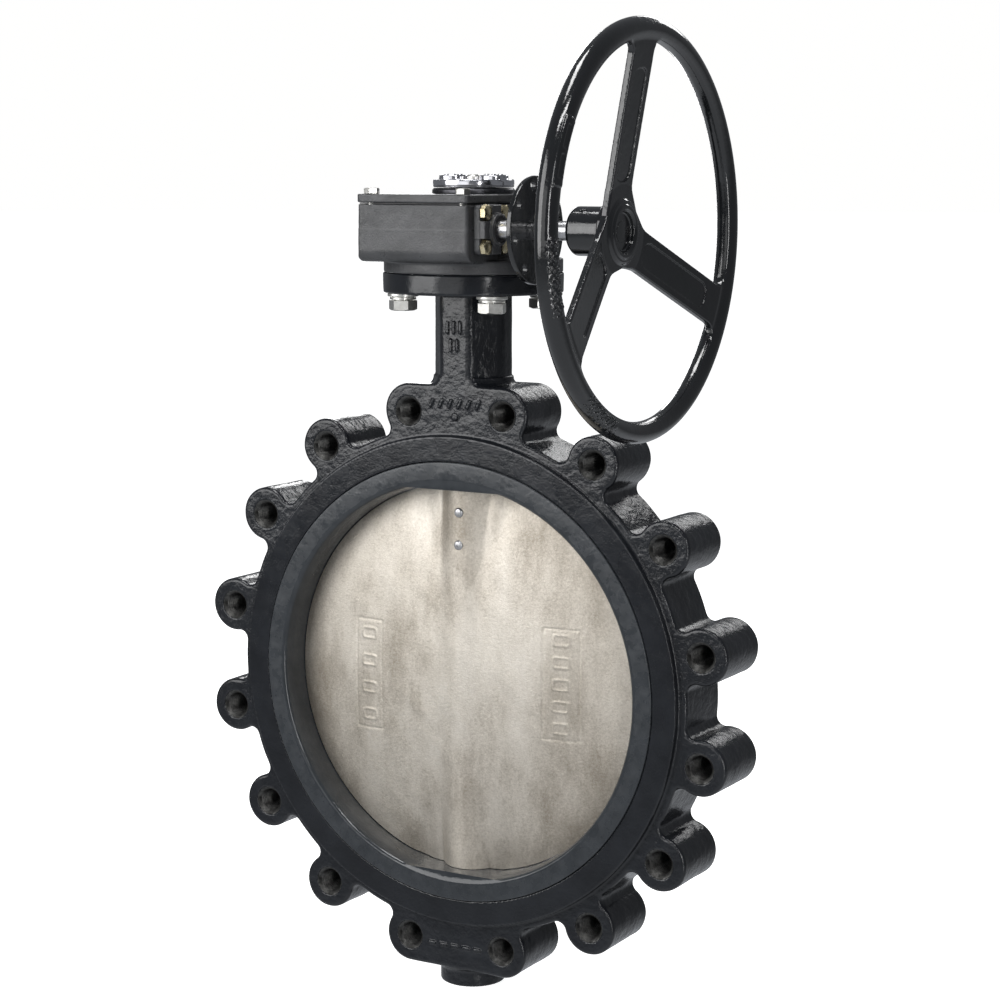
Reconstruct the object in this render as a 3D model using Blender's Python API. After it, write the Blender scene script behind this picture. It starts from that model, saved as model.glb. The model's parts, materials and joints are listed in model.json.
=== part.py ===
"""Lugged butterfly valve for 16 inch pipe, with a worm gearbox and a handwheel.

Frame: the origin is the centre of the waterway on the body's middle plane. +Z runs up
the stem, -Y is the front flange face, Y is the pipe's axis and the handwheel is on +X.
Constants and the shape helpers work in millimetres; add() turns them into metres.
The valve is modelled closed: the disc lies across the waterway.
"""
import math

import bmesh
import bpy
from mathutils import Vector

MM = 0.001
GAP = 0.3                       # clearance kept between pieces that touch

# Body and waterway
BODY_HALF = 36.0                # half the length of the lugs
BODY_R = 251.0                  # casting between the lugs
RING_R = (218.2, 242.5)         # raised gasket ring on each face
RING_HALF = 42.5
SEAT_HALF = 43.5                # half the face-to-face length, over the rubber seat
SEAT_R = (199.0, 217.7)         # flat lip of the seat
SEAT_BORE_R = 194.7
BODY_BORE_R = 206.3
LIP_FLOOR = 34.3                # where the seat's lip is let into the body

# Lugs: 16 tapped 1 inch holes on the flange's bolt circle
LUG_COUNT = 16
LUG_CIRCLE_R = 539.75 / 2
LUG_R = 27.0
LUG_HOLE_R = 12.7
LUG_FILLET_R = 9.0

# Neck, top flange and bottom boss
NECK_R = 39.0
TOP_FLANGE_R = 87.5
TOP_FLANGE_Z = (380.0, 399.5)
BOSS_R = 32.5
BOSS_Z = -310.0
STEM_BORE_R = 21.0
COUNTERBORE_R = 26.0
COUNTERBORE_Z = (-292.0, 388.0)

# Disc and stem
DISC_R = 194.2                  # spherical crown
DISC_RIM_HALF = 12.0
DISC_DOME_HALF = 31.0
DISC_HUB_R = 28.0
DISC_FLAT_Z = 190.0             # flats that turn against the seat around the stem
SEAT_FLAT_R = 40.0
STEM_R = 16.5
STEM_Z = (-288.0, 480.3)
PIN_R = 5.0
PIN_Z = {"upper": 167.0, "lower": 135.0}

# Gearbox
BASE_Z = (TOP_FLANGE_Z[1] + GAP, 413.0)
BOX_X = (-69.2, 53.0)
BOX_FRONT = -100.0
BOX_EDGE_R = 12.0               # rounded lower front edge
BOX_CORNER_R = 4.0
HOUSING_Z = (411.0, 465.3)
HOUSING_R = 69.3                # round part about the stem
REAR_EAR = (28.0, 60.0, 9.0)    # x, y and radius of the rear cover bolts' ears
CAVITY_R = 59.0
CAVITY_X = (-50.0, 42.0)
CAVITY_FRONT = -88.0
CAVITY_FLOOR = 420.0
GASKET_Z = (465.6, 466.6)
COVER_Z = (466.9, 474.7)
COVER_HOLE_R = 20.0

# Worm drive: module 3, one left-hand thread, 36 teeth
MODULE = 3.0
PITCH = math.pi * MODULE
WHEEL_TEETH = 36
WHEEL_PITCH_R = MODULE * WHEEL_TEETH / 2
WORM_PITCH_R = 14.0
WORM_Y = -(WHEEL_PITCH_R + WORM_PITCH_R)
WORM_Z = 442.5
WORM_HALF = 30.0
WORM_CORE_R = 10.4
BACKLASH = 0.18                 # taken off each flank of the worm and of the wheel
PRESSURE = math.radians(20.0)
WHEEL_HALF = 10.5
WHEEL_HUB_R = 30.0
WHEEL_STOP_FACE = 25.5
LEAD = PITCH / (2 * math.pi * WORM_PITCH_R)

# Stop screws at the rear of the gearbox
STOP_X = {"closed": -48.0, "open": 48.0}
STOP_R = 5.0
STOP_BOSS = (10.0, 60.0)        # radius, outer end

# Input side
SHAFT_R = 9.0
JOURNAL_R = 10.0
SHAFT_X = (-58.0, 190.0)
BEARING_R = 16.0
CAP_X = (53.3, 60.0, 66.0)      # wall side, plate, cross-shaped boss
CAP_HALF = 23.0
CAP_BAR_HALF = 8.0
CAP_HUB = (15.0, 70.0)
CAP_BOLT = 16.0
LOCK_PLATE_X = (103.5, 108.5)
LOCK_PLATE_R = 50.0
LOCK_HOLE_CIRCLE_R = 42.0
LOCK_HOLES = 8
LOCK_HOLE_START = math.radians(11.0)
LOCK_HUB = (15.0, 84.0)

# Handwheel
WHEEL_HUB_X = (147.0, 199.0)
COLLAR_R = 22.5
HUB_R = 29.0
RIM_R = 180.5
RIM_TUBE_R = 10.0
RIM_X = 217.0
SPOKES = 3
SPOKE_START = math.radians(93.5)
SPOKE_HALF = 20.0
ROLL_PIN = (163.0, 3.0, math.radians(123.0))    # x, radius, direction about the shaft

# Fasteners
MOUNT_BOLT_CIRCLE_R = 70.0
MOUNT_BOLT_R = 8.0
MOUNT_HEAD = (24.0, 10.0)       # across flats, height
WASHER = (15.0, 3.0)
LOCK_WASHER = (12.7, 3.0)
COVER_BOLTS = ((-56.0, -94.0), (44.0, -94.0), (REAR_EAR[0], REAR_EAR[1]), (-REAR_EAR[0], REAR_EAR[1]))
COVER_BOLT_R = 3.8
COVER_HEAD = (13.0, 5.5)

# Smoothness
FINE = 48
ROUND = 24
SMALL = 12


# ---------------------------------------------------------------- materials
def paint(name, colour, roughness, metallic=0.0):
    """A Principled material."""
    material = bpy.data.materials.new(name)
    material.use_nodes = True
    shader = material.node_tree.nodes["Principled BSDF"]
    shader.inputs["Base Color"].default_value = (*colour, 1.0)
    shader.inputs["Roughness"].default_value = roughness
    shader.inputs["Metallic"].default_value = metallic
    return material


def make_materials():
    """The finishes, by name."""
    return {
        "black_paint": paint("black_paint", (0.012, 0.013, 0.015), 0.32),
        "rubber": paint("rubber", (0.03, 0.034, 0.04), 0.45),
        "cast_stainless": paint("cast_stainless", (0.52, 0.49, 0.45), 0.42, 1.0),
        "steel": paint("steel", (0.55, 0.55, 0.56), 0.3, 1.0),
        "zinc": paint("zinc", (0.72, 0.72, 0.7), 0.28, 1.0),
        "gold_zinc": paint("gold_zinc", (0.75, 0.62, 0.35), 0.28, 1.0),
        "bronze": paint("bronze", (0.6, 0.4, 0.2), 0.4, 1.0),
        "chrome": paint("chrome", (0.8, 0.8, 0.84), 0.12, 1.0),
        "cast_iron": paint("cast_iron", (0.2, 0.2, 0.2), 0.55, 1.0),
        "seal": paint("seal", (0.02, 0.02, 0.02), 0.6),
    }


# ---------------------------------------------------------------- shape helpers
def oriented(axis, u, v, along):
    """A point from its place across an axis and its place along it."""
    return {"X": (along, u, v), "Y": (u, along, v), "Z": (u, v, along)}[axis]


def prism(outline, low, high, axis="Z", twist=None):
    """A closed outline pushed from low to high; twist(u, v, along) may move its points."""
    bm = bmesh.new()
    ends = []
    for along in (low, high):
        points = [twist(u, v, along) if twist else (u, v) for u, v in outline]
        ends.append([bm.verts.new(oriented(axis, u, v, along)) for u, v in points])
    bm.faces.new(ends[0])
    bm.faces.new(ends[1])
    count = len(outline)
    for i in range(count):
        j = (i + 1) % count
        bm.faces.new((ends[0][i], ends[0][j], ends[1][j], ends[1][i]))
    bmesh.ops.recalc_face_normals(bm, faces=bm.faces)
    return bm


def turned(profile, axis="Z", centre=(0.0, 0.0), segments=ROUND):
    """A profile of (radius, along) turned about an axis.

    A profile that starts and ends on the axis makes a solid, any other makes a ring.
    """
    bm = bmesh.new()
    rows = []
    for radius, along in profile:
        if radius == 0.0:
            rows.append([bm.verts.new(oriented(axis, *centre, along))] * segments)
            continue
        row = []
        for i in range(segments):
            angle = 2 * math.pi * i / segments
            u = centre[0] + radius * math.cos(angle)
            v = centre[1] + radius * math.sin(angle)
            row.append(bm.verts.new(oriented(axis, u, v, along)))
        rows.append(row)
    pairs = list(zip(rows, rows[1:]))
    if profile[0][0] > 0.0:
        pairs.append((rows[-1], rows[0]))
    for first, second in pairs:
        for i in range(segments):
            j = (i + 1) % segments
            corners = []
            for vertex in (first[i], first[j], second[j], second[i]):
                if vertex not in corners:
                    corners.append(vertex)
            if len(corners) > 2:
                bm.faces.new(corners)
    bmesh.ops.recalc_face_normals(bm, faces=bm.faces)
    return bm


def cylinder(radius, low, high, axis="Z", centre=(0.0, 0.0), segments=ROUND):
    """A round bar."""
    profile = [(0.0, low), (radius, low), (radius, high), (0.0, high)]
    return turned(profile, axis, centre, segments)


def tube(inner, outer, low, high, axis="Z", centre=(0.0, 0.0), segments=ROUND):
    """A plain bush or ring."""
    profile = [(inner, low), (outer, low), (outer, high), (inner, high)]
    return turned(profile, axis, centre, segments)


def block(x, y, z):
    """A box from three (low, high) pairs."""
    outline = [(x[0], y[0]), (x[1], y[0]), (x[1], y[1]), (x[0], y[1])]
    return prism(outline, z[0], z[1])


def together(*shapes):
    """Several shapes that don't touch, in one mesh."""
    bm = bmesh.new()
    for shape in shapes:
        mesh = bpy.data.meshes.new("shape")
        shape.to_mesh(mesh)
        shape.free()
        bm.from_mesh(mesh)
        bpy.data.meshes.remove(mesh)
    return bm


def arc(centre, radius, start, end, steps):
    """Points along an arc, both ends included."""
    turn = (end - start) / steps
    angles = [start + turn * i for i in range(steps + 1)]
    return [(centre[0] + radius * math.cos(a), centre[1] + radius * math.sin(a)) for a in angles]


def rounded_box(x, y, radius, steps=2):
    """The outline of a box with rounded corners."""
    outline = []
    corners = ((x[1], y[1]), (x[0], y[1]), (x[0], y[0]), (x[1], y[0]))
    for i, (cx, cy) in enumerate(corners):
        centre = (cx - math.copysign(radius, cx - sum(x) / 2), cy - math.copysign(radius, cy - sum(y) / 2))
        outline += arc(centre, radius, math.pi / 2 * i, math.pi / 2 * (i + 1), steps)
    return outline


def hexagon(across_flats, centre=(0.0, 0.0)):
    """The outline of a bolt head."""
    radius = across_flats / math.sqrt(3)
    return arc(centre, radius, 0.0, 2 * math.pi * 5 / 6, 5)


# ---------------------------------------------------------------- objects
def add(name, shape, material, origin=(0.0, 0.0, 0.0)):
    """Makes a named object from a shape, with its own origin, in metres."""
    mesh = bpy.data.meshes.new(name)
    shift = Vector(origin)
    for vertex in shape.verts:
        vertex.co = (vertex.co - shift) * MM
    shape.to_mesh(mesh)
    shape.free()
    if material:
        mesh.materials.append(material)
        mesh.shade_smooth()
        mesh.set_sharp_from_angle(angle=math.radians(35))
    piece = bpy.data.objects.new(name, mesh)
    piece.location = shift * MM
    bpy.context.scene.collection.objects.link(piece)
    return piece


def combine(piece, operation, shape):
    """Joins a shape to a piece or cuts it out, with a Boolean and a hidden operand."""
    label = f"{piece.name}_{operation.lower()}_{len(piece.modifiers)}"
    operand = add(label, shape, None)
    operand.hide_render = True
    operand.display_type = "WIRE"
    modifier = piece.modifiers.new(label, "BOOLEAN")
    modifier.operation = operation
    modifier.object = operand
    modifier.solver = "EXACT"


def join(piece, shape):
    combine(piece, "UNION", shape)


def cut(piece, shape):
    combine(piece, "DIFFERENCE", shape)


# ---------------------------------------------------------------- valve body
def lug_angle(index):
    """Direction of a lug; the holes straddle the stem's line."""
    return 2 * math.pi * (index + 0.5) / LUG_COUNT


def lug_centre(index):
    angle = lug_angle(index)
    return (LUG_CIRCLE_R * math.cos(angle), LUG_CIRCLE_R * math.sin(angle))


def body_outline():
    """The casting's outline in XZ: lugs, fillets and the two flat bridges on the stem's line."""
    reach = BODY_R + LUG_FILLET_R
    away = LUG_R + LUG_FILLET_R
    spread = math.acos((LUG_CIRCLE_R ** 2 + reach ** 2 - away ** 2) / (2 * LUG_CIRCLE_R * reach))
    half_gap = math.pi / LUG_COUNT
    flat_gaps = (LUG_COUNT // 4 - 1, 3 * LUG_COUNT // 4 - 1)
    outline = []
    for index in range(LUG_COUNT):
        centre = lug_centre(index)
        angle = lug_angle(index)
        ends = []
        for side in (-1, 1):
            gap = (index if side > 0 else index - 1) % LUG_COUNT
            if gap in flat_gaps:
                ends.append(angle + side * half_gap)
                continue
            fillet = (reach * math.cos(angle + side * spread), reach * math.sin(angle + side * spread))
            direction = math.atan2(fillet[1] - centre[1], fillet[0] - centre[0])
            ends.append(angle + (direction - angle + math.pi) % (2 * math.pi) - math.pi)
        outline += arc(centre, LUG_R, ends[0], ends[1], 7)
        if index in flat_gaps:
            continue
        for side, turn_index in ((1, index), (-1, index + 1)):
            base = lug_angle(turn_index)
            fillet = (reach * math.cos(base + side * spread), reach * math.sin(base + side * spread))
            lug = (LUG_CIRCLE_R * math.cos(base), LUG_CIRCLE_R * math.sin(base))
            to_lug = math.atan2(lug[1] - fillet[1], lug[0] - fillet[0])
            to_body = math.atan2(-fillet[1], -fillet[0])
            swing = (to_body - to_lug + math.pi) % (2 * math.pi) - math.pi
            points = arc(fillet, LUG_FILLET_R, to_lug, to_lug + swing, 2)
            outline += points[1:] if side > 0 else points[::-1][:-1]
    return outline


def build_valve_body(finish):
    body = add("valve_body", prism(body_outline(), -BODY_HALF, BODY_HALF, "Y"), finish["black_paint"])
    join(body, tube(RING_R[0] - 4.0, RING_R[1], -RING_HALF, RING_HALF, "Y", segments=FINE))

    half = math.asin(BODY_HALF / NECK_R)
    side = arc((0.0, 0.0), NECK_R, -half, half, 6)
    neck = side + [(-x, -y) for x, y in side]
    join(body, prism(neck, LUG_CIRCLE_R, TOP_FLANGE_Z[0] + 2.0))
    join(body, together(cylinder(TOP_FLANGE_R, *TOP_FLANGE_Z, segments=36),
                        cylinder(BOSS_R, BOSS_Z, -LUG_CIRCLE_R)))

    upper = [(0.0, 150.0), (STEM_BORE_R, 150.0), (STEM_BORE_R, COUNTERBORE_Z[1]),
             (COUNTERBORE_R, COUNTERBORE_Z[1]), (COUNTERBORE_R, TOP_FLANGE_Z[1] + 5),
             (0.0, TOP_FLANGE_Z[1] + 5)]
    lower = [(0.0, -150.0), (STEM_BORE_R, -150.0), (STEM_BORE_R, COUNTERBORE_Z[0]),
             (COUNTERBORE_R, COUNTERBORE_Z[0]), (COUNTERBORE_R, BOSS_Z - 5), (0.0, BOSS_Z - 5)]
    cut(body, together(turned(upper), turned(lower)))

    outside = SEAT_HALF + 10.0
    waterway = [(0.0, -outside), (RING_R[0], -outside), (RING_R[0], -LIP_FLOOR), (BODY_BORE_R, -LIP_FLOOR),
                (BODY_BORE_R, LIP_FLOOR), (RING_R[0], LIP_FLOOR), (RING_R[0], outside), (0.0, outside)]
    cut(body, turned(waterway, "Y", segments=FINE))

    lug_holes = []
    for index in range(LUG_COUNT):
        lug_holes.append(cylinder(LUG_HOLE_R, -BODY_HALF - 1, BODY_HALF + 1, "Y", lug_centre(index), SMALL))
    flange_holes = []
    for x, y in mount_bolt_places():
        flange_holes.append(cylinder(MOUNT_BOLT_R + 1.0, TOP_FLANGE_Z[0] - 5, TOP_FLANGE_Z[1] + 5,
                                     centre=(x, y), segments=SMALL))
    cut(body, together(*lug_holes, *flange_holes))


def build_seat(finish):
    """The moulded rubber seat: a sleeve with a lip on each face and a flat around each stem hole."""
    face = SEAT_HALF
    lip = LIP_FLOOR + GAP
    outer = BODY_BORE_R - GAP
    profile = [(outer, -lip), (SEAT_R[1], -lip), (SEAT_R[1], -face), (SEAT_R[0], -face),
               (SEAT_R[0] - 2.6, -face + 3), (SEAT_BORE_R, -face + 10), (SEAT_BORE_R, face - 10),
               (SEAT_R[0] - 2.6, face - 3), (SEAT_R[0], face), (SEAT_R[1], face), (SEAT_R[1], lip),
               (outer, lip)]
    seat = add("seat_liner", turned(profile, "Y", segments=FINE), finish["rubber"])
    flat = DISC_FLAT_Z + 0.4
    deep = BODY_BORE_R - 5.0
    join(seat, together(cylinder(SEAT_FLAT_R, flat, deep), cylinder(SEAT_FLAT_R, -deep, -flat)))
    cut(seat, together(cylinder(STEM_R + GAP, 150, 230), cylinder(STEM_R + GAP, -230, -150)))


# ---------------------------------------------------------------- disc and stem
def disc_half_thickness(x, z):
    """Half the disc's thickness: a shallow dome, with a round ridge that holds the stem."""
    radius = math.hypot(x, z)
    dome = DISC_RIM_HALF + (DISC_DOME_HALF - DISC_RIM_HALF) * (1 - (radius / DISC_R) ** 2)
    ridge = math.sqrt(max(0.0, DISC_HUB_R ** 2 - x ** 2))
    return (dome ** 6 + ridge ** 6) ** (1 / 6)


def build_disc(finish):
    """The disc: a domed plate with a spherical edge, bored for the stem."""
    from_stem = [math.radians(a) for a in (0, 3, 6, 9, 12, 18, 27, 38, 52, 70)]
    quarter = list(from_stem) + [math.pi / 2]
    angles = []
    for base, direction in ((0, 1), (1, -1), (1, 1), (2, -1)):
        steps = quarter[:-1] if direction > 0 else quarter[:0:-1]
        angles += [base * math.pi + direction * a for a in steps]
    fractions = (0.25, 0.45, 0.62, 0.77, 0.89, 1.0)
    bm = bmesh.new()
    faces = {}
    for side in (-1, 1):
        centre = bm.verts.new((0.0, side * disc_half_thickness(0, 0), 0.0))
        rows = [[centre] * len(angles)]
        for fraction in fractions:
            row = []
            for angle in angles:
                x, z = math.sin(angle), math.cos(angle)
                edge = math.sqrt(DISC_R ** 2 - disc_half_thickness(x * DISC_R, z * DISC_R) ** 2)
                reach = edge * fraction
                y = side * disc_half_thickness(x * reach, z * reach)
                row.append(bm.verts.new((x * reach, y, z * reach)))
            rows.append(row)
        faces[side] = rows
    middle = [bm.verts.new((DISC_R * math.sin(a), 0.0, DISC_R * math.cos(a))) for a in angles]
    bands = [(faces[-1][-1], middle), (middle, faces[1][-1])]
    for side in (-1, 1):
        bands += list(zip(faces[side], faces[side][1:]))
    count = len(angles)
    for first, second in bands:
        for i in range(count):
            j = (i + 1) % count
            corners = []
            for vertex in (first[i], first[j], second[j], second[i]):
                if vertex not in corners:
                    corners.append(vertex)
            bm.faces.new(corners)
    bmesh.ops.recalc_face_normals(bm, faces=bm.faces)
    disc = add("disc", bm, finish["cast_stainless"])
    wide = (-DISC_R, DISC_R)
    cut(disc, together(block(wide, wide, (DISC_FLAT_Z, 220)), block(wide, wide, (-220, -DISC_FLAT_Z))))
    cut(disc, cylinder(STEM_R + GAP, -200, 200))
    pin_holes = [cylinder(PIN_R + GAP, -60, 60, "Y", (0.0, z), SMALL) for z in PIN_Z.values()]
    cut(disc, together(*pin_holes))


def build_stem(finish):
    """The one-piece stem with its key, the taper pins through the disc, and its bearings and seals."""
    stem = add("stem", cylinder(STEM_R, *STEM_Z), finish["steel"])
    pin_holes = [cylinder(PIN_R + GAP, -30, 30, "Y", (0.0, z), SMALL) for z in PIN_Z.values()]
    screw_hole = cylinder(4.0 + GAP, STEM_Z[1] - 16, STEM_Z[1] + 5, segments=SMALL)
    keyway = block((12.5, 30.0), (-5 - GAP, 5 + GAP), (424 - GAP, 458 + GAP))
    cut(stem, together(*pin_holes, screw_hole, keyway))
    add("stem_key", block((12.5 + GAP, 20.2), (-5, 5), (424, 458)), finish["steel"])
    for name, z in PIN_Z.items():
        reach = disc_half_thickness(0, z) + 1.0
        add(f"disc_taper_pin_{name}", cylinder(PIN_R, -reach, reach, "Y", (0.0, z), SMALL), finish["zinc"])

    bush = (STEM_R + GAP, STEM_BORE_R - GAP)
    add("lower_stem_bushing", tube(*bush, -262, -208), finish["bronze"])
    add("middle_stem_bushing", tube(*bush, 208, 262), finish["bronze"])
    add("upper_stem_bushing", tube(*bush, 330, 364), finish["bronze"])
    add("stem_packing", tube(*bush, 366, 379), finish["seal"])
    gland = tube(bush[0], COUNTERBORE_R - GAP, COUNTERBORE_Z[1] + GAP, TOP_FLANGE_Z[1] - 1.0)
    add("stem_gland_ring", gland, finish["steel"])

    plug_top = COUNTERBORE_Z[0] - GAP
    plug = add("bottom_plug", cylinder(COUNTERBORE_R - GAP, BOSS_Z + 1.0, plug_top), finish["cast_iron"])
    cut(plug, prism(hexagon(17.0), BOSS_Z - 2, BOSS_Z + 9))


# ---------------------------------------------------------------- gearbox casing
def mount_bolt_places():
    """The four bolts between the valve's top flange and the gearbox."""
    return arc((0.0, 0.0), MOUNT_BOLT_CIRCLE_R, math.pi / 4, math.pi / 4 + 1.5 * math.pi, 3)


def gearbox_outline(inset=0.0):
    """The gearbox seen from above: a box, the round part about the stem and two bolt ears."""
    left, right = BOX_X[0] + inset, BOX_X[1] - inset
    front, radius = BOX_FRONT + inset, HOUSING_R - inset
    corner = BOX_CORNER_R
    outline = arc((left + corner, front + corner), corner, math.pi, 1.5 * math.pi, 2)
    outline += arc((right - corner, front + corner), corner, 1.5 * math.pi, 2 * math.pi, 2)

    x, y, ear = REAR_EAR
    away = math.hypot(x, y)
    meet = math.acos((radius ** 2 + away ** 2 - ear ** 2) / (2 * radius * away))
    start = -math.acos(right / radius)
    for centre in ((x, y), (-x, y)):
        toward = math.atan2(centre[1], centre[0])
        outline += arc((0.0, 0.0), radius, start, toward - meet, 4)
        swing = []
        for side in (-1, 1):
            point = (radius * math.cos(toward + side * meet), radius * math.sin(toward + side * meet))
            swing.append((math.atan2(point[1] - centre[1], point[0] - centre[0]) - toward) % (2 * math.pi))
        outline += arc(centre, ear, toward + swing[0] - 2 * math.pi, toward + swing[1], 5)[1:-1]
        start = toward + meet
    return outline + arc((0.0, 0.0), radius, start, math.pi + math.acos(-left / radius), 6)


def cavity_outline():
    """The space for the wheel and the worm, seen from above."""
    left, right = CAVITY_X
    outline = [(left, CAVITY_FRONT), (right, CAVITY_FRONT)]
    start = -math.acos(right / CAVITY_R)
    return outline + arc((0.0, 0.0), CAVITY_R, start, math.pi + math.acos(-left / CAVITY_R), 18)


def cover_bolt_holes(low, high):
    return [cylinder(COVER_BOLT_R + GAP, low, high, centre=place, segments=SMALL) for place in COVER_BOLTS]


def build_gearbox_casing(finish):
    low, high = HOUSING_Z
    housing = add("gearbox_housing", prism(gearbox_outline(), low, high), finish["black_paint"])
    edge = arc((BOX_FRONT + BOX_EDGE_R, low + BOX_EDGE_R), BOX_EDGE_R, math.pi, 1.5 * math.pi, 4)
    below = [(edge[-1][0], low - 2), (BOX_FRONT - 5, low - 2), (BOX_FRONT - 5, edge[0][1])]
    cut(housing, prism(edge + below, BOX_X[0] - 5, BOX_X[1] + 5, "X"))
    bosses = [cylinder(STOP_BOSS[0], 20.0, STOP_BOSS[1], "Y", (x, WORM_Z), 16) for x in STOP_X.values()]
    join(housing, together(*bosses))
    join(housing, cylinder(TOP_FLANGE_R, *BASE_Z, segments=36))
    cut(housing, prism(cavity_outline(), CAVITY_FLOOR, high + 10))

    worm_axis = (WORM_Y, WORM_Z)
    bores = [cylinder(STEM_BORE_R, BASE_Z[0] - 5, CAVITY_FLOOR + 5),
             cylinder(BEARING_R + GAP, CAVITY_X[0] - 10, CAVITY_X[0] + 5, "X", worm_axis),
             cylinder(BEARING_R + GAP, CAVITY_X[1] - 5, BOX_X[1] + 5, "X", worm_axis)]
    holes = [cylinder(STOP_R + GAP, 20, 70, "Y", (x, WORM_Z), SMALL) for x in STOP_X.values()]
    holes += cover_bolt_holes(high - 14, high + 5)
    holes += [cylinder(MOUNT_BOLT_R + GAP, BASE_Z[0] - 5, BASE_Z[0] + 11, centre=place, segments=SMALL)
              for place in mount_bolt_places()]
    for y, z in cap_bolt_places():
        holes.append(cylinder(COVER_BOLT_R + GAP, BOX_X[1] - 10, BOX_X[1] + 5, "X", (y, z), SMALL))
    cut(housing, together(*bores, *holes))

    gasket = add("cover_gasket", prism(gearbox_outline(1.0), *GASKET_Z), finish["seal"])
    opening = prism(cavity_outline(), GASKET_Z[0] - 5, GASKET_Z[1] + 5)
    cut(gasket, together(opening, *cover_bolt_holes(GASKET_Z[0] - 5, GASKET_Z[1] + 5)))

    cover = add("gearbox_cover", prism(gearbox_outline(), *COVER_Z), finish["black_paint"])
    hole = cylinder(COVER_HOLE_R, COVER_Z[0] - 5, COVER_Z[1] + 5)
    cut(cover, together(hole, *cover_bolt_holes(COVER_Z[0] - 5, COVER_Z[1] + 5)))
    add("cover_stem_seal", tube(STEM_R + GAP, COVER_HOLE_R - GAP, COVER_Z[0] + 0.5, COVER_Z[1] - 0.5),
        finish["seal"])


# ---------------------------------------------------------------- worm drive
def involute(angle):
    return math.tan(angle) - angle


def wheel_outline():
    """The sector's outline: teeth over the half that meets the worm, and two stop faces."""
    half_tooth = PITCH / 4 - BACKLASH
    base_r = WHEEL_PITCH_R * math.cos(PRESSURE)
    flank = []
    for radius in (base_r, WHEEL_PITCH_R, WHEEL_PITCH_R + MODULE):
        angle = math.acos(min(1.0, base_r / radius))
        flank.append((radius, half_tooth / WHEEL_PITCH_R + involute(PRESSURE) - involute(angle)))
    root = WHEEL_PITCH_R - 1.25 * MODULE
    step = 2 * math.pi / WHEEL_TEETH
    outline = []
    for tooth in range(-11, 3):
        middle = -math.pi / 2 + tooth * step
        polar = [(root, -flank[0][1])]
        polar += [(radius, -half) for radius, half in flank]
        polar += [(radius, half) for radius, half in reversed(flank)]
        polar += [(root, flank[0][1])]
        outline += [(r * math.cos(middle + a), r * math.sin(middle + a)) for r, a in polar]
    edge = WHEEL_STOP_FACE
    corner = math.sqrt(WHEEL_PITCH_R ** 2 - edge ** 2)
    return outline + [(edge, -corner), (edge, edge), (-corner, edge)]


def tooth_twist(x, y, z):
    """Leans the teeth to follow the worm's thread; the sector's body stays straight."""
    if math.hypot(x, y) < WHEEL_PITCH_R - 1.3 * MODULE or x >= WHEEL_STOP_FACE or y >= WHEEL_STOP_FACE:
        return (x, y)
    lean = -(z - WORM_Z) * LEAD / WHEEL_PITCH_R
    return (x * math.cos(lean) - y * math.sin(lean), x * math.sin(lean) + y * math.cos(lean))


def build_worm_wheel(finish):
    face = (WORM_Z - WHEEL_HALF, WORM_Z + WHEEL_HALF)
    wheel = add("worm_wheel", prism(wheel_outline(), *face, twist=tooth_twist), finish["cast_iron"])
    join(wheel, cylinder(WHEEL_HUB_R, CAVITY_FLOOR + 1.0, COVER_Z[0] - 1.0))
    cut(wheel, cylinder(STEM_R + GAP, CAVITY_FLOOR - 5, COVER_Z[0] + 5))
    cut(wheel, block((10.0, 20.2 + GAP), (-5 - GAP, 5 + GAP), (CAVITY_FLOOR - 5, COVER_Z[0] + 5)))


def thread_ridge():
    """The worm's thread as one closed ridge, left-handed, with a gap at x = 0 on its +Y side."""
    inner, crest = WORM_CORE_R - 1.0, WORM_PITCH_R + MODULE

    def half_width(radius):
        return PITCH / 4 - BACKLASH - (radius - WORM_PITCH_R) * math.tan(PRESSURE)

    section = [(inner, -half_width(inner)), (crest, -half_width(crest)),
               (crest, half_width(crest)), (inner, half_width(inner))]
    per_turn = 14
    turns = int((WORM_HALF - 4.0) / PITCH) * 2 + 1
    bm = bmesh.new()
    rows = []
    for i in range(turns * per_turn + 1):
        angle = 2 * math.pi * (i / per_turn - turns / 2)
        middle = -PITCH * angle / (2 * math.pi)
        row = []
        for radius, offset in section:
            y = WORM_Y + radius * math.cos(angle + math.pi)
            z = WORM_Z + radius * math.sin(angle + math.pi)
            row.append(bm.verts.new((middle + offset, y, z)))
        rows.append(row)
    for first, second in zip(rows, rows[1:]):
        for k in range(4):
            j = (k + 1) % 4
            bm.faces.new((first[k], first[j], second[j], second[k]))
    bm.faces.new(rows[0])
    bm.faces.new(rows[-1])
    bmesh.ops.recalc_face_normals(bm, faces=bm.faces)
    return bm


def about_shaft(x):
    """A point on the worm shaft's axis."""
    return (x, WORM_Y, WORM_Z)


def pin_bar(place, reach, radius):
    """A round bar across the shaft, through its axis."""
    x, _, direction = place
    bm = cylinder(radius, -reach, reach, segments=SMALL)
    for vertex in bm.verts:
        u, v, along = vertex.co
        y = along * math.cos(direction) + v * math.sin(direction)
        z = along * math.sin(direction) - v * math.cos(direction)
        vertex.co = (x + u, WORM_Y + y, WORM_Z + z)
    return bm


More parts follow.
